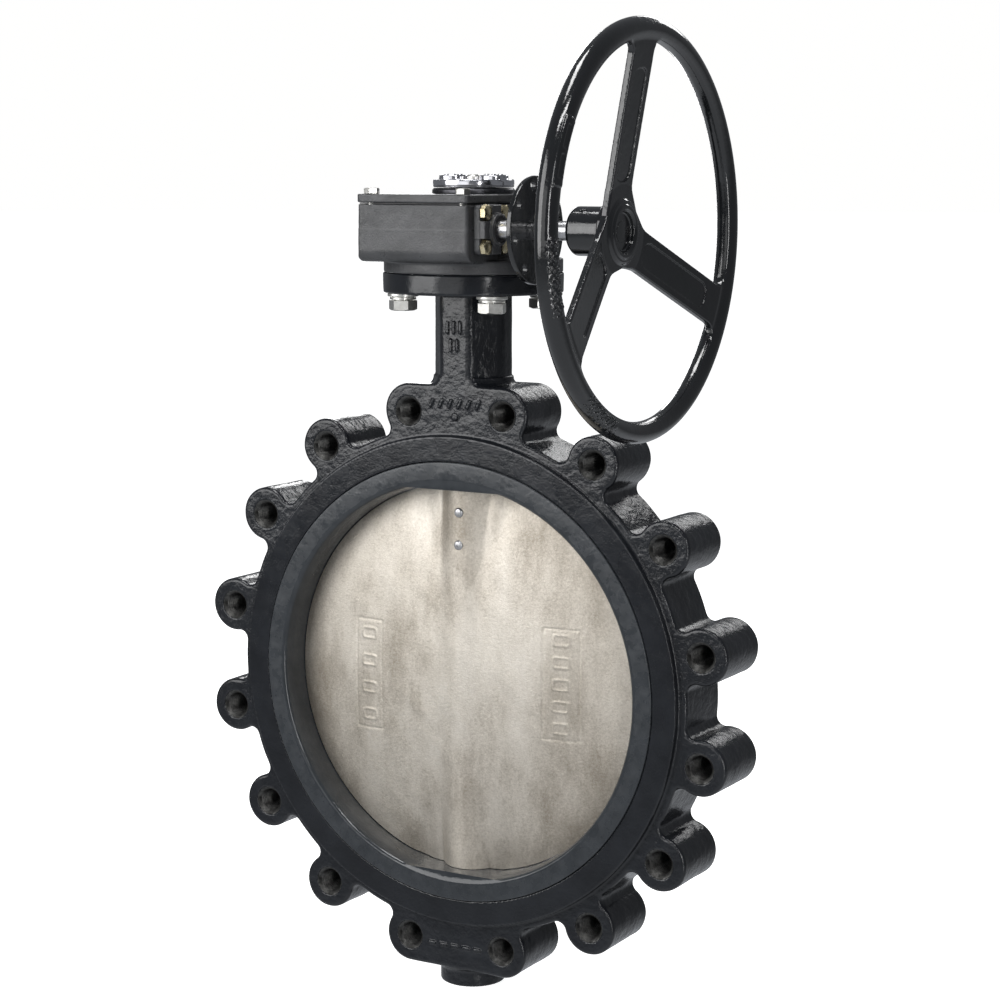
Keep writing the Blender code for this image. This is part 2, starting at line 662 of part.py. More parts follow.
def build_worm_shaft(finish):
    axis = (WORM_Y, WORM_Z)
    core = WORM_HALF
    profile = [(0.0, SHAFT_X[0]), (JOURNAL_R, SHAFT_X[0]), (JOURNAL_R, -core), (WORM_CORE_R, -core),
               (WORM_CORE_R, core), (JOURNAL_R, core), (JOURNAL_R, BOX_X[1]), (SHAFT_R, BOX_X[1]),
               (SHAFT_R, SHAFT_X[1]), (0.0, SHAFT_X[1])]
    shaft = add("worm_shaft", turned(profile, "X", axis, 24), finish["steel"], about_shaft(0.0))
    join(shaft, thread_ridge())
    cut(shaft, pin_bar(ROLL_PIN, 30.0, ROLL_PIN[1] + GAP))

    bearing = (JOURNAL_R + GAP, BEARING_R)
    for name, near, far in (("worm_bearing_inner", CAVITY_X[0] - 9.7, CAVITY_X[0] - GAP),
                            ("worm_bearing_outer", CAVITY_X[1] + GAP, BOX_X[1] - 0.5)):
        add(name, tube(*bearing, near, far, "X", axis, 24), finish["steel"])


def cap_bolt_places():
    """The four bolts of the input bearing cap, as (y, z)."""
    return [(WORM_Y + dy * CAP_BOLT, WORM_Z + dz * CAP_BOLT) for dy in (-1, 1) for dz in (-1, 1)]


def build_input_side(finish):
    axis = (WORM_Y, WORM_Z)
    span_y = (WORM_Y - CAP_HALF, WORM_Y + CAP_HALF)
    span_z = (WORM_Z - CAP_HALF, WORM_Z + CAP_HALF)
    bar_y = (WORM_Y - CAP_BAR_HALF, WORM_Y + CAP_BAR_HALF)
    bar_z = (WORM_Z - CAP_BAR_HALF, WORM_Z + CAP_BAR_HALF)
    cap = add("input_bearing_cap", prism(rounded_box(span_y, span_z, 5), CAP_X[0], CAP_X[1], "X"),
              finish["black_paint"])
    start = CAP_X[0] + 1.0
    join(cap, block((start, CAP_X[2]), span_y, bar_z))
    join(cap, block((start, CAP_X[2]), bar_y, span_z))
    join(cap, cylinder(CAP_HUB[0], start, CAP_HUB[1], "X", axis, 24))
    seal_seat = [(0.0, CAP_X[0] - 5), (SHAFT_R + GAP, CAP_X[0] - 5), (SHAFT_R + GAP, CAP_X[1] + 2),
                 (12.0 + GAP, CAP_X[1] + 2), (12.0 + GAP, CAP_HUB[1] + 5), (0.0, CAP_HUB[1] + 5)]
    holes = [cylinder(COVER_BOLT_R + GAP, CAP_X[0] - 5, CAP_X[1] + 5, "X", place, SMALL)
             for place in cap_bolt_places()]
    cut(cap, together(turned(seal_seat, "X", axis, 24), *holes))
    add("input_oil_seal", tube(SHAFT_R + GAP, 12.0, CAP_X[1] + 2 + GAP, CAP_HUB[1] - 0.5, "X", axis, 24),
        finish["seal"])
    for i, (y, z) in enumerate(cap_bolt_places(), 1):
        head = prism(hexagon(13.0, (y, z)), CAP_X[1] + GAP, CAP_X[1] + GAP + 5.5, "X")
        bolt = add(f"cap_bolt_{i}", head, finish["gold_zinc"])
        join(bolt, cylinder(COVER_BOLT_R, BOX_X[1] - 9, CAP_X[1] + 2, "X", (y, z), SMALL))

    near, far = LOCK_PLATE_X
    bore = SHAFT_R + GAP
    profile = [(bore, LOCK_HUB[1]), (LOCK_HUB[0], LOCK_HUB[1]), (LOCK_HUB[0], near), (LOCK_PLATE_R, near),
               (LOCK_PLATE_R, far), (bore, far)]
    plate = add("lock_plate", turned(profile, "X", axis, 32), finish["black_paint"], about_shaft(near))
    holes = [cylinder(4.5, near - 5, far + 5, "X", place, SMALL)
             for place in arc(axis, LOCK_HOLE_CIRCLE_R, LOCK_HOLE_START, LOCK_HOLE_START + 1.75 * math.pi,
                          LOCK_HOLES - 1)]
    cut(plate, together(*holes))


# ---------------------------------------------------------------- handwheel
def spoke(angle):
    """One spoke: a flat bar, square to the shaft at the hub and then leaning outwards to the rim."""
    sections = ((17.0, 188.9, 196.5), (42.0, 188.9, 196.5), (165.0, 215.0, 222.6), (RIM_R - 4.0, 215.0, 222.6))
    bm = bmesh.new()
    ends = []
    for reach, near, far in sections:
        ring = []
        for x, across in ((near, -SPOKE_HALF), (far, -SPOKE_HALF), (far, SPOKE_HALF), (near, SPOKE_HALF)):
            y = WORM_Y + reach * math.cos(angle) - across * math.sin(angle)
            z = WORM_Z + reach * math.sin(angle) + across * math.cos(angle)
            ring.append(bm.verts.new((x, y, z)))
        ends.append(ring)
    bm.faces.new(ends[0])
    bm.faces.new(ends[-1])
    for first, second in zip(ends, ends[1:]):
        for i in range(4):
            j = (i + 1) % 4
            bm.faces.new((first[i], first[j], second[j], second[i]))
    bmesh.ops.recalc_face_normals(bm, faces=bm.faces)
    return bm


def build_handwheel(finish):
    axis = (WORM_Y, WORM_Z)
    near, far = WHEEL_HUB_X
    profile = [(SHAFT_R + GAP, near), (COLLAR_R, near), (COLLAR_R, 180.0), (HUB_R, 184.0), (HUB_R, far),
               (18.0, far), (18.0, far - 4.0), (SHAFT_R + GAP, far - 4.0)]
    wheel = add("handwheel", turned(profile, "X", axis), finish["black_paint"], about_shaft(RIM_X))
    spokes = [spoke(SPOKE_START + 2 * math.pi * i / SPOKES) for i in range(SPOKES)]
    join(wheel, together(*spokes))
    section = arc((RIM_R, RIM_X), RIM_TUBE_R, 0.0, 1.75 * math.pi, 7)
    join(wheel, turned(section, "X", axis, FINE))
    cut(wheel, pin_bar(ROLL_PIN, 30.0, ROLL_PIN[1] + GAP))
    add("handwheel_pin", pin_bar(ROLL_PIN, COLLAR_R - 0.5, ROLL_PIN[1]), finish["steel"],
        about_shaft(ROLL_PIN[0]))


# ---------------------------------------------------------------- fasteners and indicator
def build_fasteners(finish):
    flats, height = MOUNT_HEAD
    washer_top = TOP_FLANGE_Z[0] - GAP
    lock_top = washer_top - WASHER[1] - GAP
    head_top = lock_top - LOCK_WASHER[1] - GAP
    for i, place in enumerate(mount_bolt_places(), 1):
        add(f"mounting_washer_{i}", tube(MOUNT_BOLT_R + 0.5, WASHER[0], washer_top - WASHER[1], washer_top,
                                         centre=place, segments=16), finish["zinc"])
        add(f"mounting_lock_washer_{i}", tube(MOUNT_BOLT_R + 0.5, LOCK_WASHER[0], lock_top - LOCK_WASHER[1],
                                              lock_top, centre=place, segments=16), finish["zinc"])
        head = prism(hexagon(flats, place), head_top - height, head_top)
        bolt = add(f"mounting_bolt_{i}", head, finish["zinc"])
        join(bolt, cylinder(MOUNT_BOLT_R, head_top - 2, BASE_Z[0] + 10, centre=place, segments=SMALL))

    for i, place in enumerate(COVER_BOLTS, 1):
        low = COVER_Z[1] + GAP
        head = prism(hexagon(COVER_HEAD[0], place), low, low + COVER_HEAD[1])
        bolt = add(f"cover_bolt_{i}", head, finish["zinc"])
        join(bolt, cylinder(COVER_BOLT_R, HOUSING_Z[1] - 12, low + 2, centre=place, segments=SMALL))

    for name, x in STOP_X.items():
        place = (x, WORM_Z)
        start = STOP_BOSS[1] + GAP
        screw = add(f"stop_screw_{name}", cylinder(STOP_R, WHEEL_STOP_FACE + GAP, 76.0, "Y", place, SMALL),
                    finish["zinc"])
        cut(screw, prism(hexagon(5.0, place), 71.0, 80.0, "Y"))
        nut = add(f"stop_nut_{name}", prism(hexagon(17.0, place), start, start + 8.0, "Y"), finish["zinc"])
        cut(nut, cylinder(STOP_R + GAP, start - 5, start + 15, "Y", place, SMALL))


def build_indicator(finish):
    """The position indicator: a fixed dial ring and a plate that turns with the stem."""
    top = COVER_Z[1]
    add("indicator_dial", tube(22.0, 40.0, top + GAP, 480.0, segments=32), finish["cast_iron"])
    plate_low = STEM_Z[1] + GAP
    plate = add("position_indicator", cylinder(39.0, plate_low, 488.0, segments=32), finish["chrome"])
    lobes = [cylinder(14.0, 486.0, 493.5, centre=(x, 0.0), segments=16) for x in (-22.5, 22.5)]
    join(plate, together(*lobes))
    cut(plate, cylinder(4.0 + GAP, plate_low - 5, 500.0, segments=SMALL))
    screw = add("indicator_screw", cylinder(6.5, 488.0 + GAP, 493.0, segments=16), finish["zinc"])
    join(screw, cylinder(4.0, STEM_Z[1] - 14, 490.0, segments=SMALL))


def main():
    for piece in list(bpy.data.objects):
        bpy.data.objects.remove(piece, do_unlink=True)
    finish = make_materials()
    build_valve_body(finish)
    build_seat(finish)
    build_disc(finish)
    build_stem(finish)
    build_gearbox_casing(finish)
    build_worm_wheel(finish)
    build_worm_shaft(finish)
    build_input_side(finish)
    build_handwheel(finish)
    build_fasteners(finish)
    build_indicator(finish)


main()
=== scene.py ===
"""Looks of the lugged butterfly valve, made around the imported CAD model.

The frame is the CAD model's: the origin is the centre of the waterway, +Z runs up the
stem, -Y is the front flange face and the handwheel is on +X. Lengths are in millimetres
until a mesh is made, which is in metres.
Cast and stamped pieces are distance fields: a field takes x, y and z and gives the
distance to the surface, negative inside, and skin() meshes its zero surface. Turned
pieces are profiles of (radius, place along the axis), and bolt heads are hex_head().
"""
import json
import math

import bmesh
import bpy
import numpy as np
from mathutils import Matrix, Vector

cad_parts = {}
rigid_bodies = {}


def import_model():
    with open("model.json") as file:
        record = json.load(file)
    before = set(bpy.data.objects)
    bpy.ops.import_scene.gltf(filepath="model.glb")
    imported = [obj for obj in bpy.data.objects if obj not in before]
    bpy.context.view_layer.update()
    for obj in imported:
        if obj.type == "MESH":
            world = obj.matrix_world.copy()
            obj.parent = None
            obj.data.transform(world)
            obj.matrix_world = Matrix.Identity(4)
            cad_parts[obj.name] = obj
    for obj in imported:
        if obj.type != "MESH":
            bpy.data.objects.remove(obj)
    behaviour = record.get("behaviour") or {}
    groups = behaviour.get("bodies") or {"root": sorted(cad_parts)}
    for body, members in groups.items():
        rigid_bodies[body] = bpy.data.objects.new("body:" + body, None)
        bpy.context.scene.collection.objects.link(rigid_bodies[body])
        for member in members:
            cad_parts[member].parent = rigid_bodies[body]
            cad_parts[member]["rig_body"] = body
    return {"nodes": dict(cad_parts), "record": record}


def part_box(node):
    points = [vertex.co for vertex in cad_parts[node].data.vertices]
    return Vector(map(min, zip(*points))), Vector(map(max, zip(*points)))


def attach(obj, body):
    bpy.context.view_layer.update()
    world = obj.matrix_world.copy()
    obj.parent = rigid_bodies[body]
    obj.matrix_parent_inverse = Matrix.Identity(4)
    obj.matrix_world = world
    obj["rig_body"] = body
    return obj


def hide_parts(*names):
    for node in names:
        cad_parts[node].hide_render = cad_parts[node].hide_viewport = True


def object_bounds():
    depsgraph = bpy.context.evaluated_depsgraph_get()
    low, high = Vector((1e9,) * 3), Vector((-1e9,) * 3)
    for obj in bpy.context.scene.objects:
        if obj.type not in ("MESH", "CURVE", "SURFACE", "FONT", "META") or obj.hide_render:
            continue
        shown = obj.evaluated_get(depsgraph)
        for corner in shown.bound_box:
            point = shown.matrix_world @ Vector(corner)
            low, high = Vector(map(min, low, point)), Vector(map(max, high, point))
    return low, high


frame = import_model()
CAD_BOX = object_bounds()

MM = 0.001
FRONT, BACK = -1, 1


def box_of(node, spare=0.0):
    """A CAD node's box in millimetres, grown by a spare width."""
    low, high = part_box(node)
    return [value / MM - spare for value in low], [value / MM + spare for value in high]


def span(node, axis):
    """(low, high) of a CAD node along an axis, in millimetres."""
    return tuple(corner["XYZ".index(axis)] for corner in box_of(node))


def middle(node, axis):
    return sum(span(node, axis)) / 2


def radius_of(node, axis):
    low, high = span(node, axis)
    return (high - low) / 2


# ---------------------------------------------------------------- driving sizes
# Body and waterway
RING_HALF = 42.5
BODY_HALF = 36.0
BODY_R = 251.0
RING_R = (218.2, 242.5)
BODY_BORE_R = 206.3
LIP_FLOOR = 34.3
LUG_COUNT = 16
LUG_CIRCLE_R = 539.75 / 2
LUG_R = 27.0
LUG_FILLET_R = 9.0
LUG_MOUTH_R = 14.6              # chamfer of the tapped hole
THREAD_R = (11.2, 12.7)         # crest and root of the 1 inch-8 thread
THREAD_PITCH = 25.4 / 8
BRIDGE_TOP = LUG_CIRCLE_R * math.cos(math.pi / LUG_COUNT) + LUG_R
BRIDGE_HALF = LUG_CIRCLE_R * math.sin(math.pi / LUG_COUNT)
TOP_FLANGE_R = 87.5
TOP_FLANGE_Z = (380.0, 399.5)
BOSS_R = 32.5
BOSS_Z = span("valve_body", "Z")[0]
STEM_BORE_R = 21.0
COUNTERBORE_R = 26.0
MOUNT_BOLT_CIRCLE_R = 70.0

# Seat, disc and stem
SEAT_HALF = span("seat_liner", "Y")[1]
SEAT_R = (199.0, 217.7)
SEAT_BORE_R = 194.7
SEAT_FLAT_Z = 190.4
DISC_R = radius_of("disc", "X")
DISC_RIM_HALF = 12.0
DISC_DOME_HALF = 31.0
DISC_HUB_R = 28.0
DISC_FLAT_Z = span("disc", "Z")[1]
STEM_R = 16.5
STEM_HOLE_R = STEM_R + 0.3

# Gearbox
BOX_X = (-69.2, 53.0)
BOX_FRONT = span("gearbox_housing", "Y")[0]
HOUSING_R = 69.3
HOUSING_Z = (411.0, span("gearbox_housing", "Z")[1])
BASE_Z = (span("gearbox_housing", "Z")[0], 413.0)
COVER_Z = span("gearbox_cover", "Z")
CAVITY_X = (-50.0, 42.0)
WORM_Y = middle("lock_plate", "Y")
WORM_Z = middle("lock_plate", "Z")
STOP_X = {"closed": middle("stop_screw_closed", "X"), "open": middle("stop_screw_open", "X")}
REAR_EAR = (28.0, 60.0, 9.0)    # place and radius of the ears for the rear cover bolts
SMALL_BOLT_HOLE_R = 4.1
STOP_HOLE_R = 5.3

# Input side and handwheel
SHAFT_R = 9.0
SHAFT_HOLE_R = SHAFT_R + 0.3
CAP_BOLT_PLACE = 16.0           # of the cap's bolts, to each side of the shaft
CAP_X = (span("input_bearing_cap", "X")[0], 60.0, 66.0)
CAP_HALF = radius_of("input_bearing_cap", "Y")
LOCK_PLATE_X = (103.5, span("lock_plate", "X")[1])
LOCK_PLATE_R = radius_of("lock_plate", "Y")
RIM_R = 180.5
RIM_TUBE_R = 10.0
RIM_X = 217.0
SPOKE_START = math.radians(93.5)


# ---------------------------------------------------------------- fields
def circle(u, v, radius, centre=(0.0, 0.0)):
    return np.hypot(u - centre[0], v - centre[1]) - radius


def rectangle(u, v, low, high):
    """A rectangle between two corners."""
    a = np.abs(u - (low[0] + high[0]) / 2) - (high[0] - low[0]) / 2
    b = np.abs(v - (low[1] + high[1]) / 2) - (high[1] - low[1]) / 2
    return np.hypot(np.maximum(a, 0), np.maximum(b, 0)) + np.minimum(np.maximum(a, b), 0)


def slab(along, low, high):
    return np.abs(along - (low + high) / 2) - (high - low) / 2


def stroke(u, v, start, end, half):
    """A bar with round ends."""
    run = (end[0] - start[0], end[1] - start[1])
    share = ((u - start[0]) * run[0] + (v - start[1]) * run[1]) / (run[0] ** 2 + run[1] ** 2)
    share = np.clip(share, 0, 1)
    return np.hypot(u - start[0] - share * run[0], v - start[1] - share * run[1]) - half


def union(a, b, fillet=0.0):
    """Both shapes, with a fillet where they meet."""
    if fillet == 0.0:
        return np.minimum(a, b)
    bend = np.hypot(np.maximum(fillet - a, 0), np.maximum(fillet - b, 0))
    return np.maximum(fillet, np.minimum(a, b)) - bend


def joined(*shapes):
    """Many shapes together."""
    whole = shapes[0]
    for shape in shapes[1:]:
        whole = np.minimum(whole, shape)
    return whole


def overlap(a, b, ease=0.0):
    """What two shapes share, with the edge between them rounded."""
    return -union(-a, -b, ease)


def without(a, b, ease=0.0):
    """The first shape cut by the second, with the edge rounded."""
    return overlap(a, -b, ease)


def ramp(value, low, high):
    """0 below low, 1 above high, smooth between."""
    share = np.clip((value - low) / (high - low), 0, 1)
    return share * share * (3 - 2 * share)


def ripple(x, y, z, size):
    """A slow, uneven swell between about -1 and 1, as on a sand casting."""
    a = np.sin(x / size + 1.7 * np.sin(z / (1.9 * size) + 0.6))
    b = np.sin(z / (1.13 * size) + 1.3 * np.sin(y / (1.4 * size) + 2.1))
    c = np.sin((y + 0.6 * x) / (0.87 * size) + 1.9 * np.sin(z / (1.6 * size) + 4.0))
    return (a * b + b * c + c * a) / 2


# ---------------------------------------------------------------- meshing a field
BLOCK = 16                      # grid cells in one block


def grid_values(field, low, cell, counts):
    """The field on a grid, worked out only in the blocks that its surface may cross."""
    values = np.empty(counts, np.float32)
    reach = 0.5 * BLOCK * cell * math.sqrt(3) * 1.15 + cell
    starts = [low[i] + (np.arange(0, counts[i], BLOCK) + BLOCK / 2) * cell for i in range(3)]
    centres = np.float32(np.meshgrid(*starts, indexing="ij"))
    distances = field(*centres)
    for place in np.ndindex(distances.shape):
        first = [BLOCK * index for index in place]
        last = [min(start + BLOCK, count) for start, count in zip(first, counts)]
        block = tuple(slice(a, b) for a, b in zip(first, last))
        if abs(distances[place]) > reach:
            values[block] = distances[place]
            continue
        x, y, z = (np.float32(low[i] + np.arange(first[i], last[i]) * cell) for i in range(3))
        values[block] = field(x[:, None, None], y[None, :, None], z[None, None, :])
    return values


def surface_net(values):
    """Points in grid units and quads over the zero surface of a grid of values."""
    inside = values < 0
    shape = tuple(count - 1 for count in values.shape)
    corners = [(i, j, k) for i in (0, 1) for j in (0, 1) for k in (0, 1)]
    filled = np.zeros(shape, np.int8)
    for i, j, k in corners:
        filled += inside[i:i + shape[0], j:j + shape[1], k:k + shape[2]]
    cells = np.argwhere((filled > 0) & (filled < 8))
    index = np.full(shape, -1, np.int32)
    index[tuple(cells.T)] = np.arange(len(cells))

    total = np.zeros((len(cells), 3))
    hits = np.zeros(len(cells))
    for corner in corners:
        for axis in range(3):
            if corner[axis]:
                continue
            step = np.eye(3, dtype=int)[axis]
            start = values[tuple((cells + corner).T)].astype(float)
            end = values[tuple((cells + corner + step).T)].astype(float)
            crossed = (start < 0) != (end < 0)
            share = start[crossed] / (start[crossed] - end[crossed])
            total[crossed] += np.array(corner) + share[:, None] * step
            hits[crossed] += 1
    points = cells + total / hits[:, None]

    quads = []
    for axis in range(3):
        step = np.eye(3, dtype=int)[axis]
        across = [np.eye(3, dtype=int)[(axis + turn) % 3] for turn in (1, 2)]
        ends = tuple(slice(s, None) for s in step)
        starts = tuple(slice(None, -1 if s else None) for s in step)
        edges = np.argwhere(inside[starts] != inside[ends])
        around = [edges, edges - across[0], edges - across[0] - across[1], edges - across[1]]
        quad = np.stack([index[tuple(cell.T)] for cell in around], 1)
        outward = inside[tuple(edges.T)]
        quad[~outward] = quad[~outward][:, ::-1]
        quads.append(quad)
    return points, np.concatenate(quads)


def slope(field, points, step):
    """The field and its gradient at points."""
    x, y, z = points.T.astype(np.float32)
    run = [(field(x + step, y, z) - field(x - step, y, z)),
           (field(x, y + step, z) - field(x, y - step, z)),
           (field(x, y, z + step) - field(x, y, z - step))]
    return field(x, y, z), np.stack(run, 1) / (2 * step)


def surface(field, low, high, cell):
    """Points, quads and normals of a field's zero surface inside a box."""
    low = np.array(low, float) - 2.37 * cell
    counts = [int(math.ceil((top + 2 * cell - start) / cell)) + 1 for start, top in zip(low, high)]
    points, quads = surface_net(grid_values(field, low, cell, counts))
    points = low + points * cell
    for _ in range(2):
        distance, gradient = slope(field, points, 0.2 * cell)
        size = np.maximum((gradient ** 2).sum(1), 0.25)
        move = np.clip(distance / size, -0.4 * cell, 0.4 * cell)
        points -= move[:, None] * gradient
    normals = slope(field, points, 0.3 * cell)[1]
    return points, quads, normals / np.linalg.norm(normals, axis=1)[:, None]


def link(name, mesh):
    piece = bpy.data.objects.new(name, mesh)
    bpy.context.scene.collection.objects.link(piece)
    return piece


def skin(name, field, low, high, cell):
    """A piece over the zero surface of a field, inside a box given in millimetres."""
    points, quads, normals = surface(field, low, high, cell)
    mesh = bpy.data.meshes.new(name)
    mesh.vertices.add(len(points))
    mesh.vertices.foreach_set("co", (points * MM).ravel())
    mesh.loops.add(quads.size)
    mesh.loops.foreach_set("vertex_index", quads.ravel())
    mesh.polygons.add(len(quads))
    mesh.polygons.foreach_set("loop_start", np.arange(0, quads.size, 4))
    mesh.update(calc_edges=True)
    mesh.shade_smooth()
    mesh.normals_split_custom_set_from_vertices(normals)
    return link(name, mesh)


# ---------------------------------------------------------------- turned pieces and bolts
def oriented(axis, u, v, along):
    return {"X": (along, u, v), "Y": (u, along, v), "Z": (u, v, along)}[axis]


def eased(corners, closed=True):
    """A profile from (radius, along, easing) corners; an eased corner becomes a curve."""
    points = []
    count = len(corners)
    for i, (radius, along, easing) in enumerate(corners):
        here = np.array((radius, along), float)
        if not easing or (not closed and i in (0, count - 1)):
            points.append(tuple(here))
            continue
        sides = []
        for other in (corners[i - 1], corners[(i + 1) % count]):
            way = np.array(other[:2]) - here
            sides.append(here + way * min(1.0, easing / np.linalg.norm(way)))
        for share in np.linspace(0, 1, 6):
            point = (1 - share) ** 2 * sides[0] + 2 * share * (1 - share) * here + share ** 2 * sides[1]
            points.append(tuple(point))
    return points


def from_faces(name, points, faces, sharp):
    """A closed mesh with its faces turned outwards, and edges over an angle kept sharp."""
    mesh = bpy.data.meshes.new(name)
    mesh.from_pydata([[MM * value for value in point] for point in points], [], faces)
    bm = bmesh.new()
    bm.from_mesh(mesh)
    bmesh.ops.recalc_face_normals(bm, faces=bm.faces)
    bm.to_mesh(mesh)
    bm.free()
    mesh.shade_smooth()
    mesh.set_sharp_from_angle(angle=math.radians(sharp))
    return link(name, mesh)


def from_rows(name, rows, closed, sharp=32.0):
    """A piece from rings of points; a row of one point is a pole."""
    points = []
    index = []
    for row in rows:
        index.append(list(range(len(points), len(points) + len(row))))
        points += row
    width = max(len(row) for row in rows)
    pairs = list(zip(index, index[1:]))
    if closed:
        pairs.append((index[-1], index[0]))
    faces = []
    for first, second in pairs:
        for i in range(width):
            j = (i + 1) % width
            corners = [first[i % len(first)], first[j % len(first)]]
            corners += [second[j % len(second)], second[i % len(second)]]
            faces.append([corner for k, corner in enumerate(corners) if corner not in corners[:k]])
    return from_faces(name, points, faces, sharp)


def capped(name, rows):
    """A bar through rings of points, closed at both ends."""
    first, last = ([tuple(np.mean(row, 0))] for row in (rows[0], rows[-1]))
    return from_rows(name, [first] + rows + [last], False)


def rod(radius, low, high, ease=0.0):
    """The profile of a plain rod, with its edges eased."""
    return [(0, low, 0), (radius, low, ease), (radius, high, ease), (0, high, 0)]


def lathe(name, corners, axis="Z", centre=(0.0, 0.0), segments=96, shape=None):
    """A turned piece. A profile that starts and ends on the axis is a solid, any other a ring."""
    closed = corners[0][0] > 0
    rows = []
    for radius, along in eased(corners, closed):
        row = []
        for i in range(segments if radius > 0 else 1):
            turn = 2 * math.pi * i / segments
            u, v = centre[0] + radius * math.cos(turn), centre[1] + radius * math.sin(turn)
            row.append(oriented(axis, u, v, along))
        rows.append([shape(*point) for point in row] if shape else row)
    return from_rows(name, rows, closed)


def cut_by(piece, cutter):
    """Cuts one mesh out of another for good."""
    modifier = piece.modifiers.new("cut", "BOOLEAN")
    modifier.operation = "DIFFERENCE"
    modifier.object = cutter
    bpy.context.view_layer.update()
    done = bpy.data.meshes.new_from_object(piece.evaluated_get(bpy.context.evaluated_depsgraph_get()))
    piece.modifiers.clear()
    old = piece.data
    piece.data = done
    bpy.data.meshes.remove(old)
    bpy.data.objects.remove(cutter)


def hex_head(name, flats, low, high, axis="Z", centre=(0.0, 0.0), shank=None, turn=0.0):
    """A hexagon from low to high with its far end turned to a chamfer.

    shank is (radius, tip) of the rod under the head, and None leaves a plain solid nut.
    """
    segments = 72
    direction = 1 if high > low else -1
    angles = 2 * math.pi * np.arange(segments) / segments
    hexagon = flats / 2 / np.cos((angles + math.pi / 6) % (math.pi / 3) - math.pi / 6)
    drop = np.maximum(0.0, hexagon - 0.47 * flats) * math.tan(math.radians(30)) + 0.05
    rings = [(0.0, low)]
    if shank:
        radius, tip = shank
        rings = [(0.0, tip), (radius - 0.8, tip), (radius, tip + direction * 0.8), (radius, low)]
    rings += [(hexagon - 0.35, low), (hexagon, low + direction * 0.35),
              (hexagon, high - direction * drop), (0.46 * flats, high),
              (0.38 * flats, high - direction * 0.25), (0.3 * flats, high), (0.0, high)]
    rows = []
    for radius, along in rings:
        count = segments if np.any(radius) else 1
        radii, places = np.broadcast_to(radius, count), np.broadcast_to(along, count)
        u = centre[0] + radii * np.cos(angles[:count] + turn)
        v = centre[1] + radii * np.sin(angles[:count] + turn)
        rows.append([oriented(axis, *point) for point in zip(u.tolist(), v.tolist(), places.tolist())])
    return from_rows(name, rows, False, sharp=20.0)


# ---------------------------------------------------------------- materials
class Nodes:
    """A material's node tree, with short ways to add what every finish here needs."""

    def __init__(self, name):
        self.material = bpy.data.materials.new(name)
        self.material.use_nodes = True
        self.tree = self.material.node_tree
        self.shader = self.tree.nodes["Principled BSDF"]
        self.place = self.tree.nodes.new("ShaderNodeTexCoord").outputs["Object"]

    def connect(self, source, target):
        self.tree.links.new(source, target)

    def node(self, kind, output, links, operation=None, **numbers):
        """An output of a new node, with links and numbers on its sockets."""
        node = self.tree.nodes.new("ShaderNode" + kind)
        if operation:
            node.operation = operation
        for label, number in numbers.items():
            node.inputs[label.replace("_", " ")].default_value = number
        for socket, source in links.items():
            self.connect(source, node.inputs[socket])
        return node.outputs[output]

    def stretched(self, scale):
        """The object's coordinates, scaled on each axis."""
        return self.node("Mapping", "Vector", {"Vector": self.place}, Scale=scale)

    def noise(self, size, detail=3.0, rough=0.55, stretch=None):
        """Noise with features of a size in millimetres."""
        place = self.stretched(stretch) if stretch else self.place
        return self.node("TexNoise", "Fac", {"Vector": place}, Scale=1 / (size * MM), Detail=detail,
                         Roughness=rough)

    def spread(self, value, low, high, start=0.3, end=0.7):
        """A value mapped from start..end to low..high."""
        return self.node("MapRange", "Result", {"Value": value}, From_Min=start, From_Max=end,
                         To_Min=low, To_Max=high)

    def reach(self, weights):
        """Distance from the origin, with each axis counted by its weight."""
        return self.node("VectorMath", "Value", {0: self.stretched(weights)}, "LENGTH")

    def times(self, value, other):
        return self.node("Math", "Value", {0: value, 1: other}, "MULTIPLY")

    def colours(self, value, *stops):
        """Colours along a value, as (place, colour) pairs."""
        node = self.tree.nodes.new("ShaderNodeValToRGB")
        band = node.color_ramp
        while len(band.elements) < len(stops):
            band.elements.new(0.5)
        for element, (place, colour) in zip(band.elements, stops):
            element.position = place
            element.color = (*colour, 1.0)
        self.connect(value, node.inputs["Fac"])
        return node.outputs["Color"]

    def bump(self, *layers):
        """Stacked bumps, as (height value, depth in millimetres, strength)."""
        normal = None
        for value, depth, strength in layers:
            links = {"Height": value, "Normal": normal} if normal else {"Height": value}
            normal = self.node("Bump", "Normal", links, Distance=depth * MM, Strength=strength)
        self.connect(normal, self.shader.inputs["Normal"])

    def finish(self, colour, roughness, **constants):
        """Sets the colour and roughness, and plain numbers on the shader's own sockets."""
        self.connect(colour, self.shader.inputs["Base Color"])
        self.connect(roughness, self.shader.inputs["Roughness"])
        for label, number in constants.items():
            self.shader.inputs[label.replace("_", " ")].default_value = number
        return self.material


def coated_casting():
    """The valve body: a thick glossy black coating over a sand casting."""
    n = Nodes("body_coating")
    tone = n.colours(n.noise(45), (0.3, (0.0085, 0.0095, 0.012)), (0.7, (0.016, 0.018, 0.022)))
    gloss = n.spread(n.noise(14, 4), 0.1, 0.22)
    machined = n.spread(n.reach((0.0, 1.0, 0.0)), 1.0, 0.2, 39.0 * MM, 41.5 * MM)
    n.bump((n.times(n.noise(14, 2), machined), 1.6, 0.6),
           (n.times(n.noise(5.5, 4, 0.6), machined), 1.0, 0.6), (n.noise(2.0, 3, 0.6), 0.22, 0.6))
    return n.finish(tone, gloss, Specular_IOR_Level=0.5)


def gearbox_paint():
    """Satin black paint over rough cast iron."""
    n = Nodes("gearbox_paint")
    tone = n.colours(n.noise(30), (0.3, (0.040, 0.041, 0.043)), (0.7, (0.074, 0.075, 0.078)))
    gloss = n.spread(n.noise(6, 4), 0.26, 0.4)
    n.bump((n.noise(7, 3, 0.6), 0.7, 0.6), (n.noise(1.7, 4, 0.7), 0.5, 0.75))
    return n.finish(tone, gloss)


